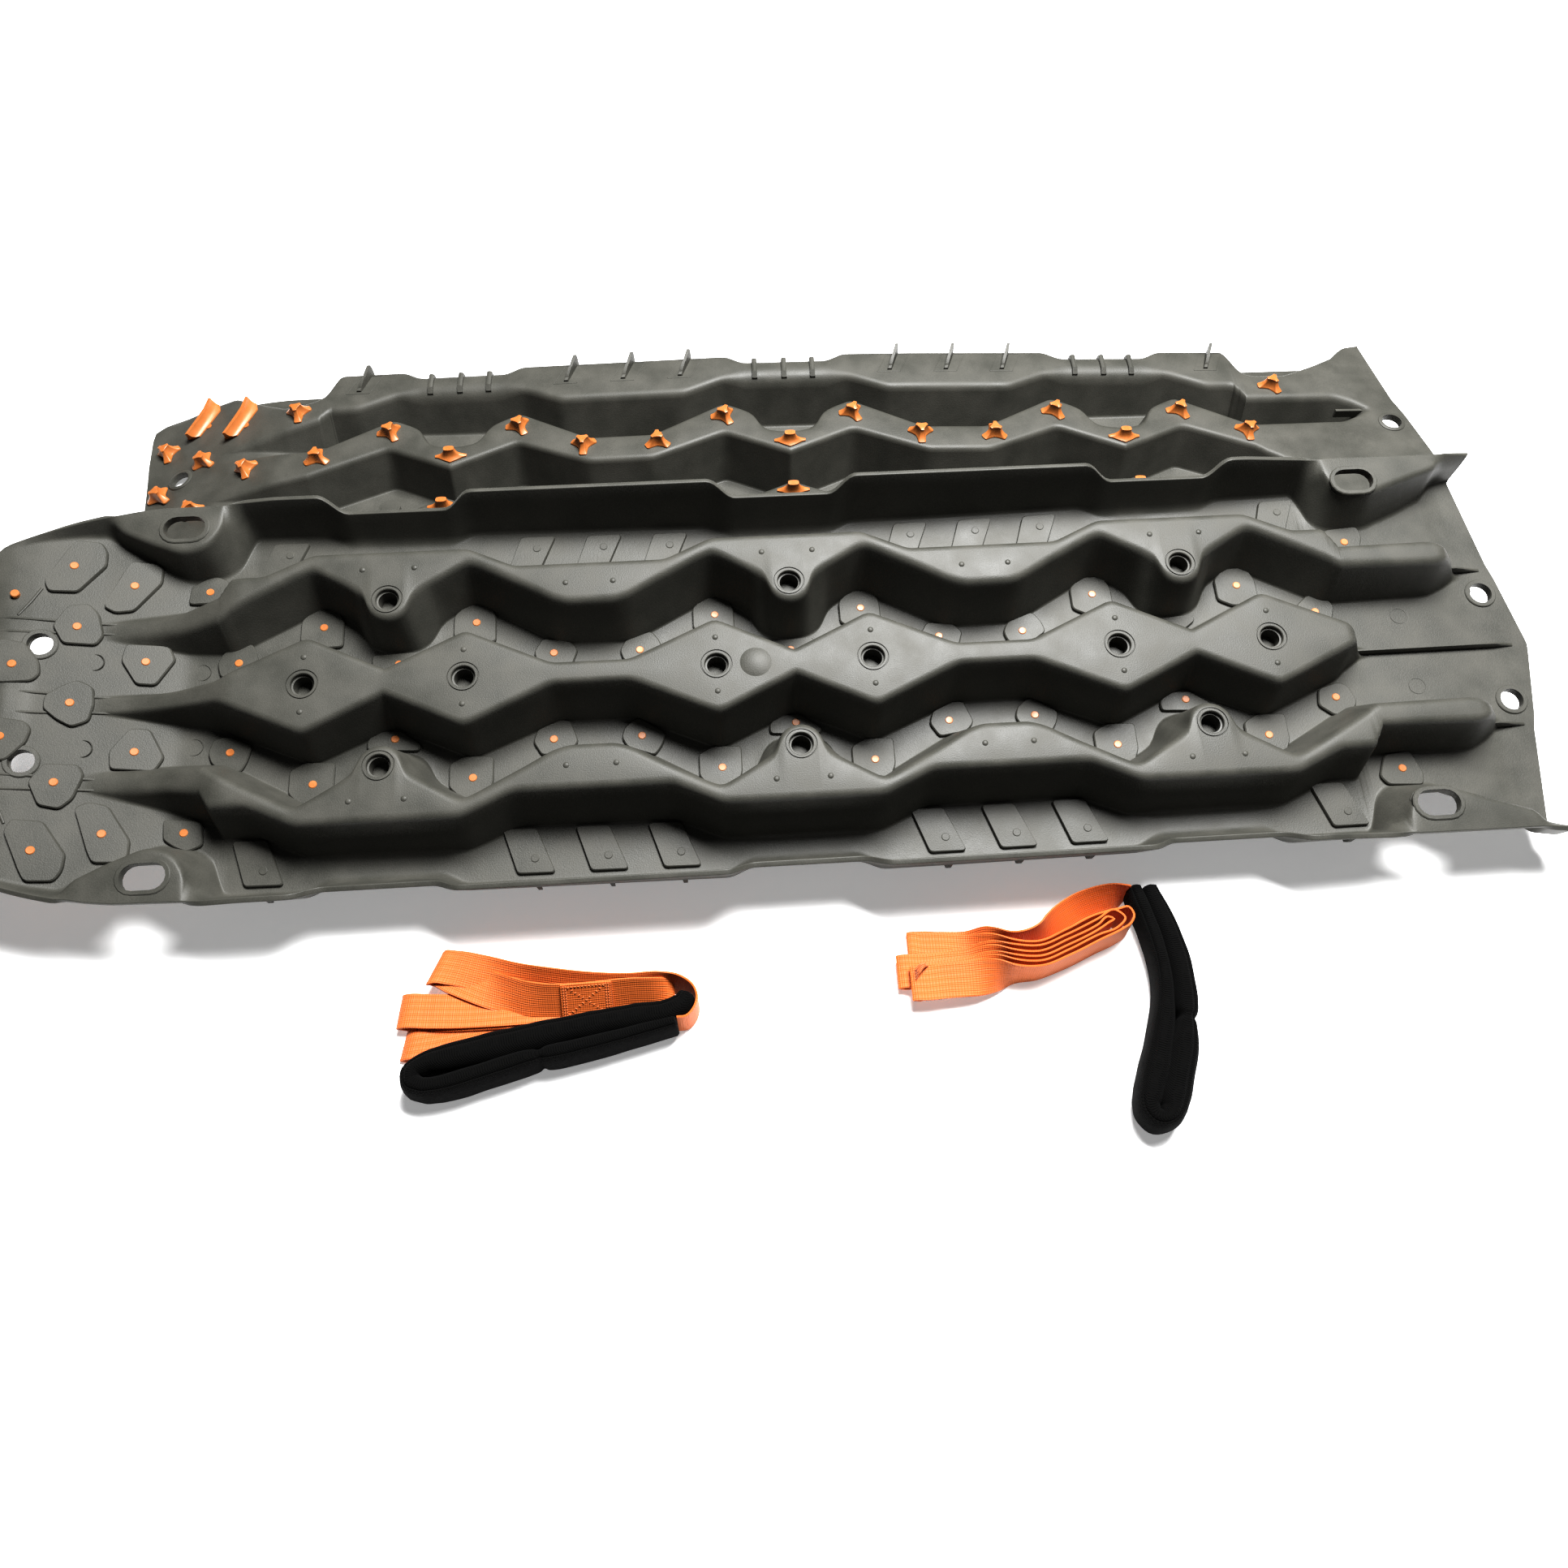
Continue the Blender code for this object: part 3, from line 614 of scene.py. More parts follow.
# (x, distance from the middle, turn, kind) beyond those that repeat with the zigzag.
SCOOP_TEETH = ((-458.5, 36, 90, "star"), (-523.6, 35.8, 38, "star"), (-570, 61, 85, "star"),
               (-485, 96.5, -85, "star"), (-537, 98, 0, "bar"), (-577.5, 111, 0, "bar"),
               (-606, 28, 80, "star"), (-611.5, 84.5, 38, "star"))
TAIL_TEETH = ((364.5, 36.4, -90, "star"), (401, 96.4, 180, "star"))


def star_outline(core, share):
    half = [(angle, core + (reach - CORE) * share) for angle, reach in LEG]
    leg = [(-angle, reach) for angle, reach in reversed(half[1:-1])] + half
    ring = [(math.radians(120 * k + angle), reach) for k in range(3) for angle, reach in leg]
    return [(math.cos(angle) * reach, math.sin(angle) * reach) for angle, reach in ring]


def loft(shapes, foot, cap):
    """A tooth that draws in from its foot to a narrow cap, hollowed between the two."""
    shapes.rings([[(fx + (cx - fx) * share, fy + (cy - fy) * share, z)
                   for (fx, fy), (cx, cy) in zip(foot, cap)] for z, share in LOFT])


def tooth_meshes(orange):
    """One mesh for each kind of tooth, its pin going down through the board."""
    meshes = {}
    for kind, side in (("star", 1), ("boat_left", -1), ("boat_right", 1), ("bar_left", 1), ("bar_right", -1)):
        shapes = Shapes()
        if kind == "star":
            shapes.rings([[(x, y, z) for x, y in star_outline(core, share)] for z, core, share in STAR_RINGS])
        elif kind.startswith("boat"):
            loft(shapes, *[[(x, side * y) for x, y in shape] for shape in (BOAT_FOOT, BOAT_CAP)])
        else:
            loft(shapes, *[[(x - BAR_PIN[0], side * (y - BAR_PIN[1])) for x, y in shape]
                           for shape in (BAR_FOOT, BAR_CAP)])
        shapes.lathe(((3.0, 0.5), (3.0, -PIN_DEPTH + 0.5), (2.5, -PIN_DEPTH)), (0, 0, 0), 24)
        meshes[kind] = shapes.mesh("tooth_" + kind, 42)
        meshes[kind].materials.append(orange)
    return meshes


def tooth_rows():
    """Every tooth of a board as (CAD name or None, x, y, turn, kind); the two sides mirror each other."""
    pattern = []
    for post in POSTS:
        pattern += [(post - DIAMOND, 63.5, 180, "star"), (post, 30.5, 0, "boat"),
                    (post + DIAMOND, 63.5, 180, "star")]
    for post, following in zip(POSTS, POSTS[1:]):
        pattern += [(post + VALLEY_STEP, 35.5, -90, "star"), (following - VALLEY_STEP, 35.5, 90, "star")]
    rows = [("middle_01", -567.5, 0.0, 0, "star")]
    for word, side in (("left", 1), ("right", -1)):
        for k, (x, y, turn, kind) in enumerate(sorted(pattern)):
            kind = kind + "_" + word if kind == "boat" else kind
            rows.append(("{}_{:02d}".format(word, k + 1), x, side * y, side * turn, kind))
        for k, (x, y, turn, kind) in enumerate(SCOOP_TEETH + TAIL_TEETH):
            kind = kind + "_" + word if kind == "bar" else kind
            rows.append(("{}_{:02d}".format(word, k + 14), x, side * y, side * turn, kind))
    return rows


def add_teeth(prefix, place, body, meshes, nodes):
    for name, x, y, turn, kind in tooth_rows():
        tooth = new_object("{}_grip_{}".format(prefix, name), meshes[kind])
        tooth.matrix_world = (place @ Matrix.Translation(Vector((x, y, top_deck(x))) * MM)
                              @ Matrix.Rotation(deck_slope(x), 4, "Y") @ turned(turn, "Z"))
        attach(tooth, body)
        node = "{}_tooth_{}".format(prefix, name)
        if node in nodes:
            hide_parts(node)


# ---------------------------------------------------------------- leashes
# Each leash is one webbing folded to and fro. Its rows are the middle of the strip (x, y, z) and
# the way its width points (x, y, z): (0, 0, 1) is on edge and (0, 1, 0) lies flat.

STRIP_WIDTH, STRIP_THICK = 25.0, 1.7
PATCH_WIDTH = 24.4            # the doubled, stitched place on the left strap
SLEEVE_HEIGHT = 26.0
ON_EDGE = (0.0, 0.0, 1.0)
LEFT_STRIP = (
    (-145, -487, 13, *ON_EDGE), (-139, -486.6, 13, *ON_EDGE), (-133.4, -480.6, 13, *ON_EDGE),
    (-131.6, -471.5, 13, *ON_EDGE), (-135, -463.6, 13.2, *ON_EDGE), (-143, -458.8, 13.6, 0, 0.1, 1),
    (-156, -459.4, 14.6, 0, 0.4, 0.9), (-175, -461.6, 15, 0, 0.6, 0.8), (-199, -459.6, 14.2, 0, 0.62, 0.78),
    (-222, -456.6, 13.4, 0, 0.62, 0.78), (-240, -453.4, 13.2, 0, 0.64, 0.76),
    (-258, -450.2, 12.8, 0.05, 0.78, 0.62),
    (-280, -444.8, 12.2, 0.18, 0.94, 0.3), (-300, -439.4, 12.4, 0.33, 0.94, 0.1),
    (-308.5, -438.2, 12.2, 0.37, 0.93, 0), (-311.6, -438.6, 10.9, 0.37, 0.93, 0),
    (-308.5, -439.2, 9.6, 0.37, 0.93, 0), (-296, -446.2, 9.6, 0.3, 0.95, 0),
    (-278, -454.5, 10.2, 0.15, 0.98, 0.1),
    (-260, -461, 12.6, 0, 0.84, 0.5), (-246, -466, 14.6, 0, 0.74, 0.62), (-232, -468.2, 15.6, 0, 0.66, 0.74),
    (-214, -468.2, 15.8, 0, 0.66, 0.76), (-193, -466.8, 15.8, 0, 0.62, 0.78),
    (-173, -465.4, 15.4, 0, 0.6, 0.8),
    (-159, -465.8, 14.6, 0, 0.66, 0.72), (-151, -466.6, 12.4, 0, 0.8, 0.5), (-148, -467, 10, 0, 0.95, 0.25),
    (-151, -467, 7.6, 0, 1, 0.1), (-175, -466.5, 6.7, 0, 1, 0.04), (-214, -466.6, 6.7, 0, 1, 0),
    (-248, -468.2, 6.8, 0, 1, 0), (-290, -469.6, 7.4, 0, 1, 0), (-312, -469, 8.2, 0, 1, 0),
    (-330, -468.6, 8.2, 0.06, 1, 0), (-333.2, -468.6, 6.6, 0.06, 1, 0), (-330, -468.8, 5.1, 0.06, 1, 0),
    (-300, -470.6, 4.9, 0, 1, 0), (-248, -469.6, 4.9, 0, 1, 0), (-214, -468, 4.9, 0, 1, 0),
    (-160, -467.4, 4.9, 0, 1, 0), (-154, -467.4, 3.9, 0, 1, 0), (-160, -467.4, 2.9, 0, 1, 0),
    (-216, -469.6, 2.9, 0, 1, 0), (-252, -475.4, 2.9, 0.1, 1, 0), (-284, -482, 2.9, 0.12, 1, 0),
    (-308, -486.6, 3.4, 0.13, 1, 0), (-326, -489.2, 3.8, 0.13, 1, 0), (-328.4, -489.3, 2.4, 0.13, 1, 0),
    (-326, -489.2, 1.1, 0.13, 1, 0), (-300, -484.8, 1.0, 0.13, 1, 0), (-252, -475.6, 1.0, 0.1, 1, 0),
    (-216, -470, 1.0, 0.05, 1, 0), (-175, -468, 1.0, 0, 1, 0))
# How far forward each pass of the right leash's webbing lies, from the back to the front: evenly
# where the passes stand on edge, and bunched where they have fallen over flat.
EVEN_SHARES = (0.0, 0.17, 0.33, 0.5, 0.67, 0.83, 1.0)
FALLEN_SHARES = (0.0, 0.06, 0.58, 0.66, 0.88, 0.94, 1.0)
FALLEN = (1.0, 0.9, 0.6, 0.25, 0.0, 0.0, 0.0, 0.0, 0.0)
STRAND_X = (23.0, 38.0, 58.0, 72.0, 85.0, 103.0, 123.0, 147.0, 163.0)
BACK_Y = (-434.0, -435.0, -436.5, -438.5, -438.5, -439.0, -431.5, -420.5, -417.5)
FRONT_Y = (-465.2, -464.2, -463.6, -462.2, -461.5, -461.0, -454.0, -443.0, -436.0)
STRAND_LEAN = (2.0, 5.0, 16.0, 44.0, 80.0, 90.0, 90.0, 90.0, 90.0)
LEFT_SLEEVE = (
    ((-138, -468.5, 6.0), (-141.5, -475, 7.6), (-149, -479.6, 8.6), (-171, -483, 9.3), (-192, -486, 9.4),
     (-214, -489.6, 9.5), (-248, -496.3, 10.4), (-280, -503, 10.2), (-298, -506.6, 9.0), (-310, -510, 7.8),
     (-317, -515.2, 7.0), (-317, -521.6, 7.0), (-310.5, -525.4, 7.0), (-300, -525.6, 7.2),
     (-290, -523.6, 7.4),
     (-273, -518.8, 7.4), (-256, -513.8, 7.2), (-243, -510.2, 6.8), (-237, -508.8, 5.8), (-234.4, -508, 4.4),
     (-231.6, -507.6, 5.8), (-226, -506.8, 6.6), (-218, -505.4, 6.8), (-199, -501.4, 6.4), (-180, -497, 6.0),
     (-165, -493.2, 5.6), (-145, -488.4, 5.0)))
RIGHT_SLEEVE = (
    ((178.5, -401.5, 5.4), (180.5, -414, 6.2), (183.6, -431, 6.2), (185.6, -452, 6.2), (185, -474, 6.4),
     (180.6, -495, 7.6), (174, -515, 8.8), (166.6, -534, 9.6), (160, -549, 9.2), (157, -558.6, 7.6),
     (159.4, -565.4, 6.8), (165.6, -567.2, 6.8), (171, -563.6, 8.0), (175.6, -554, 9.4), (182, -538, 10.0),
     (188.6, -521, 9.6), (192.4, -509, 8.2), (194, -503.4, 6.8), (194.9, -500.4, 5.4), (195.8, -497, 7.0),
     (197, -489, 8.2), (198.4, -474, 8.4), (198.6, -456, 8.4), (196.6, -438, 8.2), (193, -420, 7.6),
     (189, -402, 6.0)))


def flow(rows, step):
    """A smooth run through rows of numbers, whose first three are a place, at about even steps."""
    rows = np.array(rows, float)
    rows = np.vstack([2 * rows[0] - rows[1], rows, 2 * rows[-1] - rows[-2]])
    gaps = np.linalg.norm(np.diff(rows[:, :3], axis=0), axis=1)[:, None]
    pace = np.diff(rows, axis=0) / gaps
    turn = (gaps[:-1] * pace[1:] + gaps[1:] * pace[:-1]) / (gaps[:-1] + gaps[1:])
    run = []
    for k in range(1, len(rows) - 2):
        gap = gaps[k]
        for t in np.arange(0, 1, 1 / max(1, round(float(gap[0]) / step))):
            run.append(rows[k] * (2 * t ** 3 - 3 * t ** 2 + 1) + turn[k - 1] * gap * (t ** 3 - 2 * t ** 2 + t)
                       + rows[k + 1] * (3 * t ** 2 - 2 * t ** 3) + turn[k] * gap * (t ** 3 - t ** 2))
    run.append(rows[-2])
    return np.array(run)


def swept_mesh(name, run, sideways, outline):
    """A closed tube of a (stations, points, 2) outline swept along the run, with lengths in its UV map."""
    ahead = np.gradient(run[:, :3], axis=0)
    ahead /= np.linalg.norm(ahead, axis=1)[:, None]
    sideways = sideways / np.linalg.norm(sideways, axis=1)[:, None]
    normal = np.cross(ahead, sideways)
    slant = np.linalg.norm(normal, axis=1)[:, None]
    normal = normal / slant
    sideways = sideways / np.maximum(slant, 0.9)
    places = (run[:, None, :3] + sideways[:, None] * outline[:, :, :1] + normal[:, None] * outline[:, :, 1:])
    stations, around = outline.shape[:2]
    faces = [(r * around + k, r * around + (k + 1) % around, (r + 1) * around + (k + 1) % around,
              (r + 1) * around + k) for r in range(stations - 1) for k in range(around)]
    faces += [tuple(reversed(range(around))), tuple(range((stations - 1) * around, stations * around))]
    mesh = bpy.data.meshes.new(name)
    mesh.from_pydata((places.reshape(-1, 3) * MM).tolist(), [], faces)
    length = np.concatenate([[0], np.cumsum(np.linalg.norm(np.diff(run[:, :3], axis=0), axis=1))])
    flat = np.stack([np.repeat(length, around), outline[:, :, 0].reshape(-1)], axis=1) * MM
    corners = np.zeros(len(mesh.loops), dtype=np.int32)
    mesh.loops.foreach_get("vertex_index", corners)
    mesh.uv_layers.new(name="cloth").data.foreach_set("uv", flat[corners].reshape(-1))
    shape = bmesh.new()
    shape.from_mesh(mesh)
    bmesh.ops.recalc_face_normals(shape, faces=shape.faces)
    shape.to_mesh(mesh)
    shape.free()
    smooth(mesh, 50)
    return mesh, float(length[-1])


def strip_mesh(name, rows, thick=STRIP_THICK, width=STRIP_WIDTH, step=2.0):
    """Flat webbing: a little thicker along its woven edges, and never quite straight."""
    run = flow(rows, step)
    half, rim = width / 2, thick / 2
    profile = [(half, 0.0), (half - 0.35, 0.85), (half - 1.6, 1.0), (half - 3.0, 0.82), (half / 2, 0.88),
               (0.0, 0.92)]
    top = [(v, r * rim) for v, r in profile] + [(-v, r * rim) for v, r in reversed(profile[:-1])]
    ring = np.array(top + [(v, -r) for v, r in reversed(top[1:-1])])
    outline = np.repeat(ring[None], len(run), axis=0)
    along = np.arange(len(run)) * step
    outline[:, :, 0] += (0.25 * np.sin(along / 9.0) + 0.2 * np.sin(along / 23.0 + 1))[:, None]
    return swept_mesh(name, run, run[:, 3:6], outline)


def strand(k, x, back, front, lean, fallen=1.0):
    """One row of the right leash's pass number k: fallen over flat on the left, on edge on the right."""
    share = float(lerp(fallen, (0, EVEN_SHARES[k]), (1, FALLEN_SHARES[k])))
    tip = math.radians(lean)
    flat_height = 1.4 + 1.95 * k
    height = flat_height + (13.0 - flat_height) * min(1.0, math.sin(tip) ** 0.8)
    if lean <= 20:
        height = flat_height + 3.2 * math.sin(tip) * (1 - share)
    return (x, back + (front - back) * share, height, 0.0, math.cos(tip), math.sin(tip))


def pass_rows(k, backwards):
    rows = [strand(k, *row) for row in zip(STRAND_X, BACK_Y, FRONT_Y, STRAND_LEAN, FALLEN)]
    return list(reversed(rows)) if backwards else rows


def left_fold(upper, lower, x):
    """Rows that turn the webbing back at its left end, from pass to pass."""
    first, last = strand(upper, x, -434.0, -466.0, 2.0), strand(lower, x, -434.0, -466.0, 2.0)
    y = (first[1] + last[1]) / 2
    return [(x + 3, y, *first[2:]), (x, y, (first[2] + last[2]) / 2, *first[3:]), (x + 3, y, *last[2:])]


def right_strip():
    """Out of the handle, to the back of the stack, and to and fro until it is used up."""
    rows = [(175, -403.5, 13.4, *ON_EDGE), (165, -406, 13.4, -0.15, 0.4, 0.9),
            (152, -409, 13.2, -0.35, 0.5, 0.8),
            (139, -413.4, 13.0, -0.45, 0.5, 0.75), (128, -419.6, 13, -0.45, 0.5, 0.75),
            (117, -427, 13, -0.3, 0.45, 0.85), (108, -432.4, 13, -0.1, 0.3, 0.95)]
    rows += [(x, y + 2.0 if x > 60 else y, *rest) for x, y, *rest in pass_rows(0, True)[4:]]
    rows += left_fold(0, 1, 16.5)
    rows += pass_rows(1, False)
    rows += [(170.5, -419.5, 13, *ON_EDGE), (173, -425.5, 13, *ON_EDGE), (170, -431.5, 13, *ON_EDGE)]
    rows += pass_rows(6, True)
    rows += left_fold(6, 5, 15)
    rows += pass_rows(5, False)[:-1]
    rows += [(160, -434.5, 13, *ON_EDGE), (166.5, -427.5, 13, *ON_EDGE), (160.5, -421.5, 13, *ON_EDGE)]
    rows += pass_rows(2, True)[1:]
    rows += left_fold(2, 3, 7)
    rows += pass_rows(3, False)[:-1]
    rows += [(155, -426.4, 13, *ON_EDGE), (158.5, -428.5, 13, *ON_EDGE), (155, -430.5, 13, *ON_EDGE)]
    rows += pass_rows(4, True)[1:]
    return rows


def sleeve_mesh(name, rows, height):
    """A padded sleeve bent double: flat-sided, full, with a seam along its top and soft wrinkles."""
    run = flow([(x, y, height / 2 + 0.4, half) for x, y, half in rows], 1.5)
    turns = np.radians(np.arange(0, 360, 7.5))
    power = 2 / 2.7
    wide = np.sign(np.cos(turns)) * np.abs(np.cos(turns)) ** power
    tall = np.sign(np.sin(turns)) * np.abs(np.sin(turns)) ** power
    along = np.arange(len(run)) * 1.5
    bend = np.gradient(np.unwrap(np.arctan2(np.gradient(run[:, 1]), np.gradient(run[:, 0])))) / 1.5
    half = run[:, 3]
    pinch = np.clip((7.0 - half) / 7.0, 0, 0.3)
    puff = 1 - 0.35 * pinch + 0.012 * np.sin(along / 7.0) + 0.01 * np.sin(along / 3.1 + 2)
    outline = np.zeros((len(run), len(turns), 2))
    outline[:, :, 0] = tall[None] * (height / 2 * puff)[:, None]
    outline[:, :, 1] = wide[None] * (half * (1 + 0.02 * np.sin(along / 5.0)))[:, None]
    crumple = np.clip(np.abs(bend) * 9, 0, 1)[:, None] * np.sin(along / 1.3)[:, None] * 0.35
    outline[:, :, 1] += crumple * wide[None]
    seam = np.exp(-((turns - math.radians(67.5)) / 0.12) ** 2)
    outline[:, :, 0] -= seam[None] * 1.6
    outline[0] *= 0.8
    outline[-1] *= 0.8
    sideways = np.tile(np.array([0.0, 0.0, 1.0]), (len(run), 1))
    return swept_mesh(name, run, sideways, outline)[0]


def stitch_mesh(name, spots):
    """Short rounded stitches: each spot is a place, the way it runs, its half length and the way out."""
    shapes = Shapes()
    for place, way, half, out in spots:
        place, way, out = Vector(place), Vector(way).normalized(), Vector(out).normalized()
        across = way.cross(out)
        rings = []
        for k in range(7):
            t = -1 + k / 3
            fat = 0.08 + 0.30 * math.sqrt(max(0.0, 1 - t * t))
            centre = place + way * (half * t) + out * (0.25 * (1 - t * t))
            rings.append([tuple(centre + across * fat * math.cos(a) + out * fat * math.sin(a))
                          for a in [math.radians(45 * j) for j in range(8)]])
        shapes.rings(rings)
    return shapes.mesh(name, 80)


def patch_parts():
    """The doubled, box-stitched place in the left leash's front pass, as rows and stitch spots."""
    lean = Vector((0, 0.66, 0.75)).normalized()
    out = Vector((0, -lean.z, lean.y))
    rows = []
    for x, y, z in ((-223, -468.3, 15.7), (-206, -467.7, 15.8), (-189, -466.6, 15.75)):
        middle = Vector((x, y, z)) + out * (STRIP_THICK + 0.15)
        rows.append((*middle, *lean))
    spots = []

    def stitch(x, across, way, half):
        y = -468.2 + 0.055 * (x + 221)
        spots.append((Vector((x, y, 15.75)) + out * (1.5 * STRIP_THICK + 0.2) + across, way, half, out))

    for k in range(11):
        for x in (-221, -219.4, -192.6, -191):
            stitch(x, lean * ((k - 5) * 2.1), lean, 0.95)
    for k in range(11):
        for side in (1, -1):
            x = -217.8 + k * 2.36
            stitch(x, lean * side * 10.4, (1, 0.05, 0), 1.0)
            stitch(x, lean * side * (k - 5) * 1.95, Vector((1.2, 0.05, 0)) + lean * side * -1.0, 1.1)
    return rows, spots


def thread_mesh(name):
    """A tuft of loose thread ends where the right leash's webbing was cut."""
    shapes = Shapes()
    for k in range(11):
        fan, lift = (k - 5) * 0.55, 0.5 * (k % 3)
        rows = [(27.0 - 0.3 * k, -452.5 + fan * 0.3, 14.6), (24.5, -453.8 + fan * 0.5, 16.4 + lift),
                (20.5, -456.5 + fan, 16.6 + lift), (17.5 + 0.6 * (k % 2), -459.5 + fan * 1.3, 14.9 + lift)]
        shapes.rings([[(x, y + 0.42 * math.cos(a), z + 0.6 + 0.42 * math.sin(a))
                       for a in [math.radians(60 * j) for j in range(6)]] for x, y, z in flow(rows, 0.8)])
    return shapes.mesh(name, 80)


def ride_on(piece, body, place):
    piece.matrix_world = place
    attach(piece, body)
    return piece


def add_leashes(place, webbing, thread, sleeve):
    patch_rows, spots = patch_parts()
    ends = {"left": (LEFT_STRIP, LEFT_SLEEVE), "right": (right_strip(), RIGHT_SLEEVE)}
    for word, (rows, sleeve_rows) in ends.items():
        body, stem = "leash_{}_body".format(word), "leash_{}_".format(word)
        padding = sleeve_mesh(stem + "padded_sleeve", sleeve_rows, SLEEVE_HEIGHT)
        handle = new_object(stem + "padded_sleeve", padding, sleeve)
        ride_on(handle, body, place)
        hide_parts(stem + "handle")
        mesh, length = strip_mesh(stem + "folded_strip", rows)
        strip = new_object(stem + "folded_strip", mesh, webbing)
        ride_on(strip, body, place)
        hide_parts(stem + "webbing")
        extras = []
        if word == "left":
            patch = strip_mesh(stem + "patch", patch_rows, width=PATCH_WIDTH)[0]
            extras.append(new_object(stem + "stitched_patch", patch, webbing))
            stitches = stitch_mesh(stem + "patch_stitches", spots)
            extras.append(new_object(stem + "patch_stitches", stitches, thread))
        else:
            extras.append(new_object(stem + "thread_ends", thread_mesh(stem + "thread_ends"), thread))
        for extra in extras:
            ride_on(extra, body, place)


# ---------------------------------------------------------------- materials

def shader(name, colour, roughness):
    material = bpy.data.materials.new(name)
    material.use_nodes = True
    surface = material.node_tree.nodes["Principled BSDF"]
    surface.inputs["Base Color"].default_value = (*colour, 1)
    surface.inputs["Roughness"].default_value = roughness
    return material, surface


def link(material, output, socket):
    material.node_tree.links.new(output, socket)


def node(material, kind, **values):
    made = material.node_tree.nodes.new(kind)
    for key, value in values.items():
        if key in made.inputs:
            made.inputs[key].default_value = value
        else:
            setattr(made, key, value)
    return made


def noise(material, scale, detail=2.0, stretch=(1, 1, 1)):
    """Noise over the object's own coordinates, in turns per metre."""
    coords = node(material, "ShaderNodeTexCoord")
    fit = node(material, "ShaderNodeMapping")
    fit.inputs["Scale"].default_value = stretch
    grain = node(material, "ShaderNodeTexNoise", Scale=scale, Detail=detail)
    link(material, coords.outputs["Object"], fit.inputs["Vector"])
    link(material, fit.outputs["Vector"], grain.inputs["Vector"])
    return grain.outputs[0]


def mix_colour(material, factor, low, high):
    blend = node(material, "ShaderNodeMix", data_type="RGBA")
    link(material, factor, blend.inputs[0])
    blend.inputs[6].default_value = (*low, 1)
    blend.inputs[7].default_value = (*high, 1)
    return blend.outputs[2]


def spread(material, value, low, high, to_low, to_high):
    fit = node(material, "ShaderNodeMapRange")
    for key, number in (("From Min", low), ("From Max", high), ("To Min", to_low), ("To Max", to_high)):
        fit.inputs[key].default_value = number
    link(material, value, fit.inputs["Value"])
    return fit.outputs[0]


def bump(material, surface, height, distance, strength=1.0):
    rise = node(material, "ShaderNodeBump", Strength=strength, Distance=distance)
    link(material, height, rise.inputs["Height"])
    link(material, rise.outputs["Normal"], surface.inputs["Normal"])


def total(material, first, share_first, second, share_second=1.0):
    """Two values added, each in its share."""
    parts = [value if share == 1.0 else steps(material, "MULTIPLY", value, share)
             for value, share in ((first, share_first), (second, share_second))]
    return steps(material, "ADD", *parts)


def paint(material, surface, colour, **inputs):
    """Joins a colour to the surface and sets its other inputs, named with _ for each space."""
    link(material, colour, surface.inputs["Base Color"])
    for key, value in inputs.items():
        surface.inputs[key.replace("_", " ")].default_value = value


def steps(material, operation, first, second=None):
    made = material.node_tree.nodes.new("ShaderNodeMath")
    made.operation = operation
    for socket, value in zip(made.inputs, (first, second)):
        if isinstance(value, (int, float)):
            socket.default_value = value
        elif value is not None:
            link(material, value, socket)
    return made.outputs[0]


def charcoal_plastic():
    """Moulded plastic with a fine satin grain and faint cloudy scuffs."""
    material, surface = shader("charcoal_plastic", (0.045, 0.047, 0.043), 0.5)
    cloud = noise(material, 38.0, 5.0)
    grain = noise(material, 1100.0, 3.0)
    mottle = spread(material, total(material, cloud, 0.6, grain, 0.4), 0.38, 0.66, 0, 1)
    paint(material, surface, mix_colour(material, mottle, (0.046, 0.046, 0.039), (0.072, 0.070, 0.060)),
          Specular_IOR_Level=0.35)
    roughness = spread(material, cloud, 0.3, 0.75, 0.44, 0.58)
    link(material, roughness, surface.inputs["Roughness"])
    bump(material, surface, grain, 0.00016, 0.8)
    return material


def orange_nylon():
    """Hard orange plastic, a little glossy, with slight flow marks."""
    material, surface = shader("orange_nylon", (0.86, 0.24, 0.06), 0.4)
    marks = noise(material, 160.0, 4.0)
    grain = noise(material, 2200.0, 2.0)
    paint(material, surface, mix_colour(material, marks, (0.37, 0.125, 0.030), (0.44, 0.16, 0.044)),
          Subsurface_Weight=0.12, Subsurface_Radius=(0.004, 0.0016, 0.0006))
    roughness = spread(material, marks, 0.3, 0.7, 0.34, 0.48)
    link(material, roughness, surface.inputs["Roughness"])
    bump(material, surface, grain, 0.00004, 0.6)
    return material


def cloth_axes(material):
    """The sweep's own lengths: along it and across it, in metres."""
    coords = node(material, "ShaderNodeTexCoord")
    split = node(material, "ShaderNodeSeparateXYZ")
    link(material, coords.outputs["UV"], split.inputs[0])
    return split.outputs[0], split.outputs[1]


def wave(material, value, period):
    return steps(material, "SINE", steps(material, "MULTIPLY", value, 2 * math.pi / period))


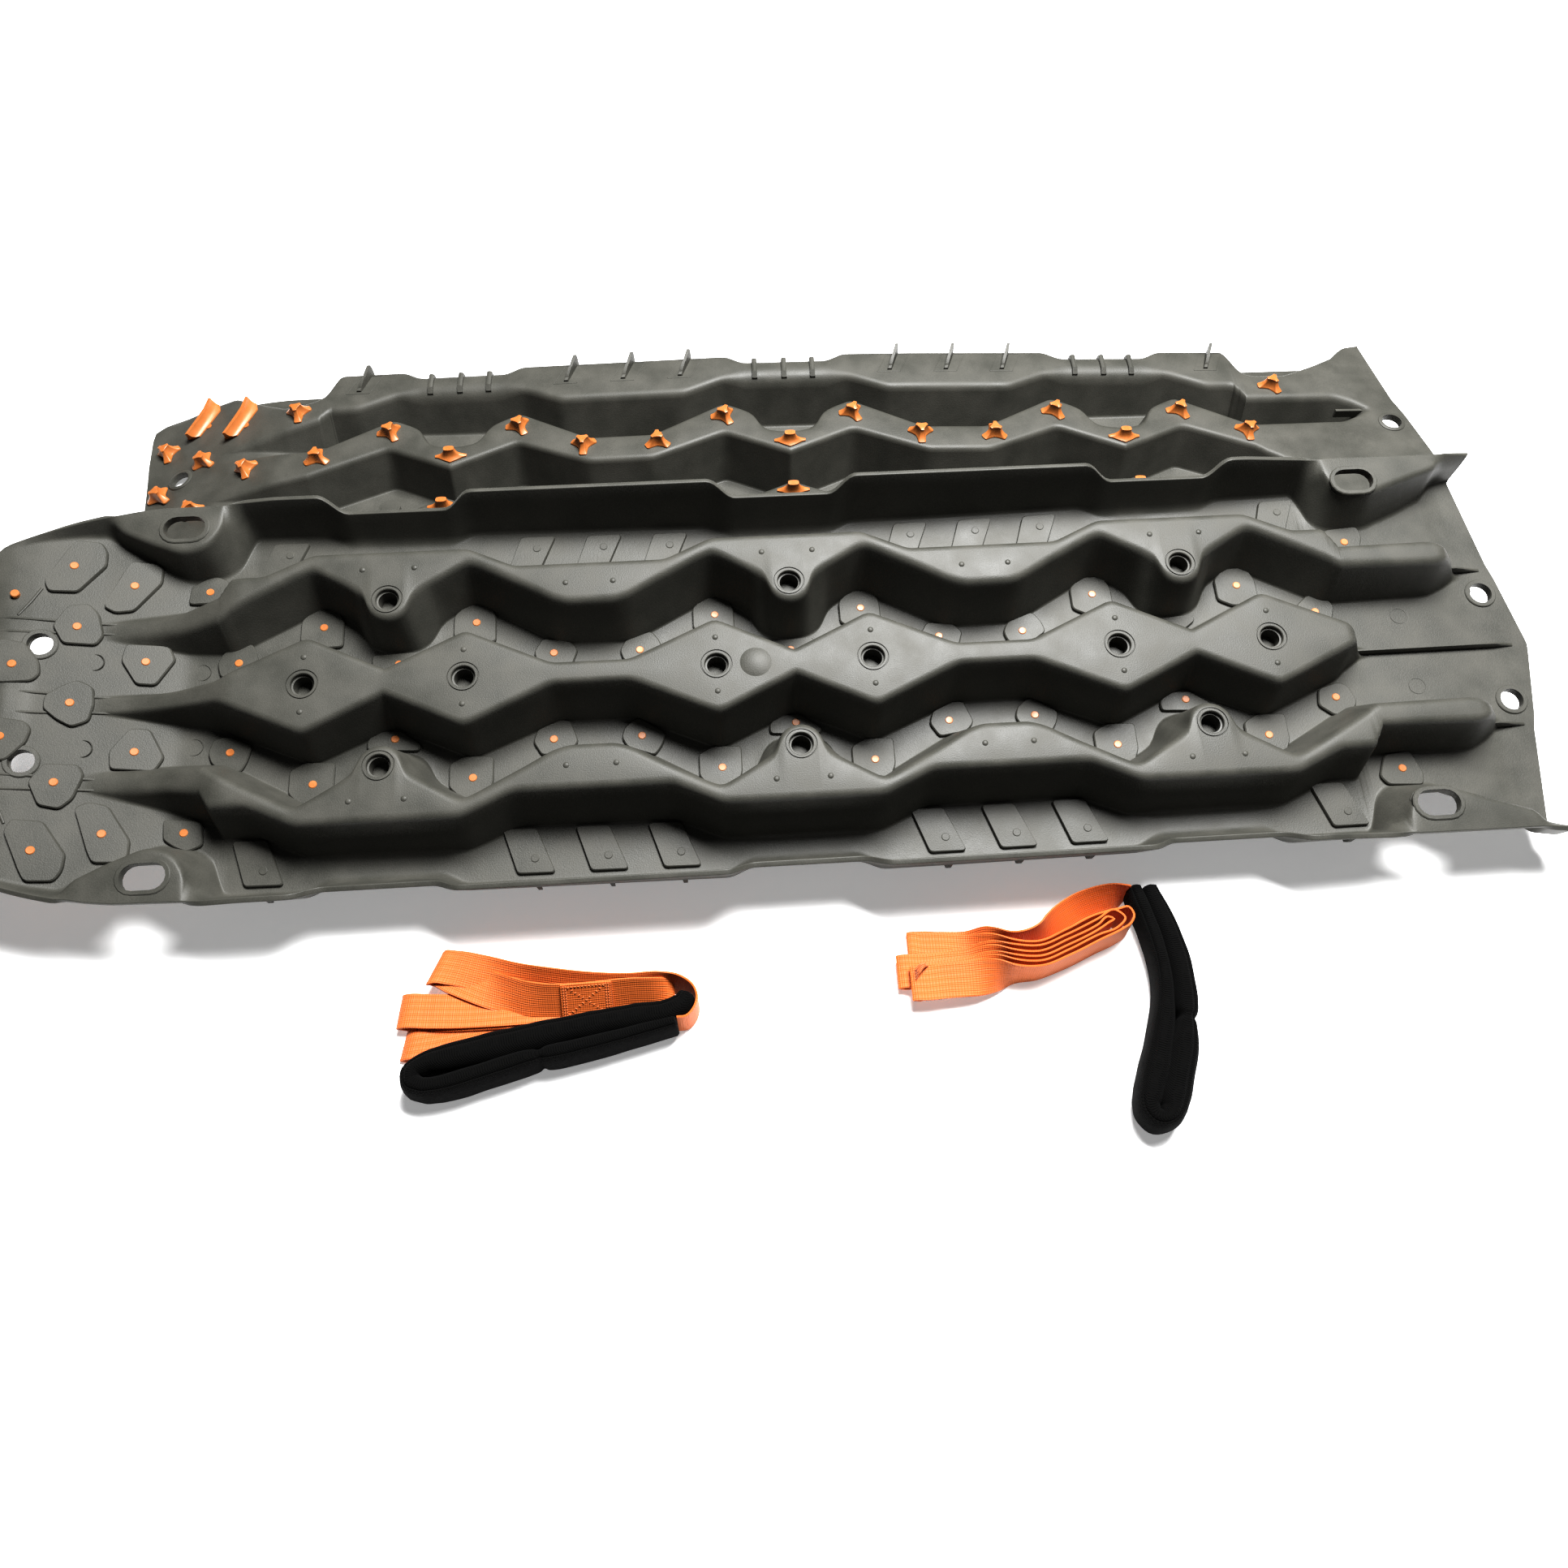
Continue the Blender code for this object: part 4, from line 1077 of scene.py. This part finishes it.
def orange_webbing():
    """Flat nylon webbing woven in small diamonds, with a faint sheen all over; its colour is painted lighter
    on the high threads as a painted highlight and darker on the low ones as painted shade.
    """
    material, surface = shader("orange_webbing", (0.86, 0.24, 0.06), 0.6)
    along, across = cloth_axes(material)
    one = wave(material, steps(material, "ADD", along, across), 0.0031)
    other = wave(material, steps(material, "SUBTRACT", along, across), 0.0031)
    diamonds = steps(material, "MULTIPLY", one, other)
    picks = wave(material, along, 0.0009)
    ends = wave(material, across, 0.00115)
    height = total(material, diamonds, 0.7, total(material, picks, 0.35, ends, 0.3))
    cloud = noise(material, 60.0, 4.0)
    # The weave's colour follows its height: the lighter high threads are a painted highlight and the darker
    # low threads are painted shade.
    painted_weave_light = mix_colour(material, spread(material, height, -1.0, 1.0, 0, 1), (0.50, 0.110, 0.018),
                       (0.70, 0.178, 0.032))
    worn = node(material, "ShaderNodeMix", data_type="RGBA", blend_type="MULTIPLY")
    link(material, spread(material, cloud, 0.35, 0.75, 0.0, 0.35), worn.inputs[0])
    link(material, painted_weave_light, worn.inputs[6])
    worn.inputs[7].default_value = (0.84, 0.74, 0.68, 1)
    paint(material, surface, worn.outputs[2], Sheen_Weight=0.08, Sheen_Roughness=0.4)
    bump(material, surface, height, 0.00022, 0.8)
    return material


def orange_thread():
    material, surface = shader("orange_thread", (0.62, 0.24, 0.07), 0.5)
    twist = noise(material, 900.0, 2.0)
    paint(material, surface, mix_colour(material, twist, (0.46, 0.12, 0.025), (0.62, 0.18, 0.04)),
          Sheen_Weight=0.2)
    bump(material, surface, twist, 0.0002, 0.6)
    return material


def black_knit():
    """Near-black knitted cover over foam: rows of small stitches, painted lighter on their tops and darker in
    their low rows as painted shade and highlight, and a soft bloom of fluff.
    """
    material, surface = shader("black_foam_sleeve", (0.006, 0.006, 0.006), 0.9)
    along, across = cloth_axes(material)
    knit = steps(material, "MULTIPLY", wave(material, along, 0.0016), wave(material, across, 0.0013))
    height = total(material, knit, 0.6, noise(material, 700.0, 4.0))
    # The colour follows the knit's height: the darker low rows and lighter stitch tops are painted shade and
    # highlight; the fluff noise mixed in is random tone.
    fluff_and_painted_shade = spread(material, height, -0.2, 1.3, 0, 1)
    paint(material, surface, mix_colour(material, fluff_and_painted_shade, (0.0006, 0.0006, 0.0006), (0.0042, 0.0041, 0.0038)),
          Specular_IOR_Level=0.1, Sheen_Weight=0.012, Sheen_Roughness=0.5)
    bump(material, surface, height, 0.0005, 0.9)
    return material


# ---------------------------------------------------------------- scene

def front_pose():
    """Deck down, turned and tilted so that its far side rests on the rear board."""
    turn = turned(FRONT_TILT, "X") @ turned(FRONT_PITCH, "Y") @ turned(FRONT_YAW, "Z")
    upside_down = Matrix.Rotation(math.pi, 4, "X")
    pivot_down = Matrix.Translation(Vector((0, 0, -PIVOT_HEIGHT)) * MM)
    return Matrix.Translation(FRONT_PLACE * MM) @ turn @ upside_down @ pivot_down


def rear_origin():
    low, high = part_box("rear_board")
    return Vector((low.x - SCOOP_TIP * MM, (low.y + high.y) / 2, low.z))


def add_camera(origin):
    camera = bpy.data.objects.new("camera", bpy.data.cameras.new("camera"))
    bpy.context.scene.collection.objects.link(camera)
    camera.location = origin + CAMERA_PLACE * MM
    camera.rotation_euler = Euler([math.radians(turn) for turn in CAMERA_TURN])
    camera.data.lens = CAMERA_LENS
    camera.data.sensor_width = 36
    camera.data.clip_start = 0.01
    bpy.context.scene.camera = camera


def add_light(name, place, aim, size, power):
    lamp = bpy.data.lights.new(name, "AREA")
    lamp.shape = "RECTANGLE"
    lamp.size, lamp.size_y = size
    lamp.energy = power
    made = bpy.data.objects.new(name, lamp)
    bpy.context.scene.collection.objects.link(made)
    made.location = place
    made.rotation_euler = (Vector(aim) - Vector(place)).to_track_quat("-Z", "Y").to_euler()


def add_studio():
    world = bpy.data.worlds.new("studio")
    world.use_nodes = True
    world.node_tree.nodes["Background"].inputs["Color"].default_value = (1, 1, 1, 1)
    world.node_tree.nodes["Background"].inputs["Strength"].default_value = SKY_STRENGTH
    bpy.context.scene.world = world
    view = bpy.context.scene.view_settings
    view.view_transform = "Standard"
    view.gamma = 0.8
    view.exposure = 0.3
    add_light("overhead", LAMP_PLACE, LAMP_AIM, LAMP_SIZE, LAMP_POWER)
    floor_material, surface = shader("studio_floor", (0.93, 0.93, 0.93), 0.9)
    surface.inputs["Emission Color"].default_value = (1, 1, 1, 1)
    surface.inputs["Emission Strength"].default_value = FLOOR_GLOW
    floor = bpy.data.meshes.new("studio_floor")
    corners = [(x * FLOOR_REACH, y * FLOOR_REACH, 0) for x, y in ((-1, -1), (1, -1), (1, 1), (-1, 1))]
    floor.from_pydata(corners, [], [(0, 1, 2, 3)])
    new_object("studio_floor", floor, floor_material)


def main():
    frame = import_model()
    origin = rear_origin()
    add_camera(origin)
    charcoal, orange = charcoal_plastic(), orange_nylon()
    places = {"rear": Matrix.Translation(origin), "front": Matrix.Translation(origin) @ front_pose()}
    moulding, details = board_mesh(), board_details()
    for mesh in (moulding, details):
        mesh.materials.clear()
        mesh.materials.append(charcoal)
    teeth = tooth_meshes(orange)
    for prefix, place in places.items():
        body = prefix + "_board_body"
        for name, mesh in (("moulding", moulding), ("pads_and_ribs", details)):
            piece = new_object("{}_board_{}".format(prefix, name), mesh)
            piece.matrix_world = place
            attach(piece, body)
            if name == "moulding":
                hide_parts(prefix + "_board")
        add_teeth(prefix, place, body, teeth, frame["nodes"])
    add_leashes(places["rear"], orange_webbing(), orange_thread(), black_knit())
    add_studio()
    bpy.context.view_layer.update()


main()
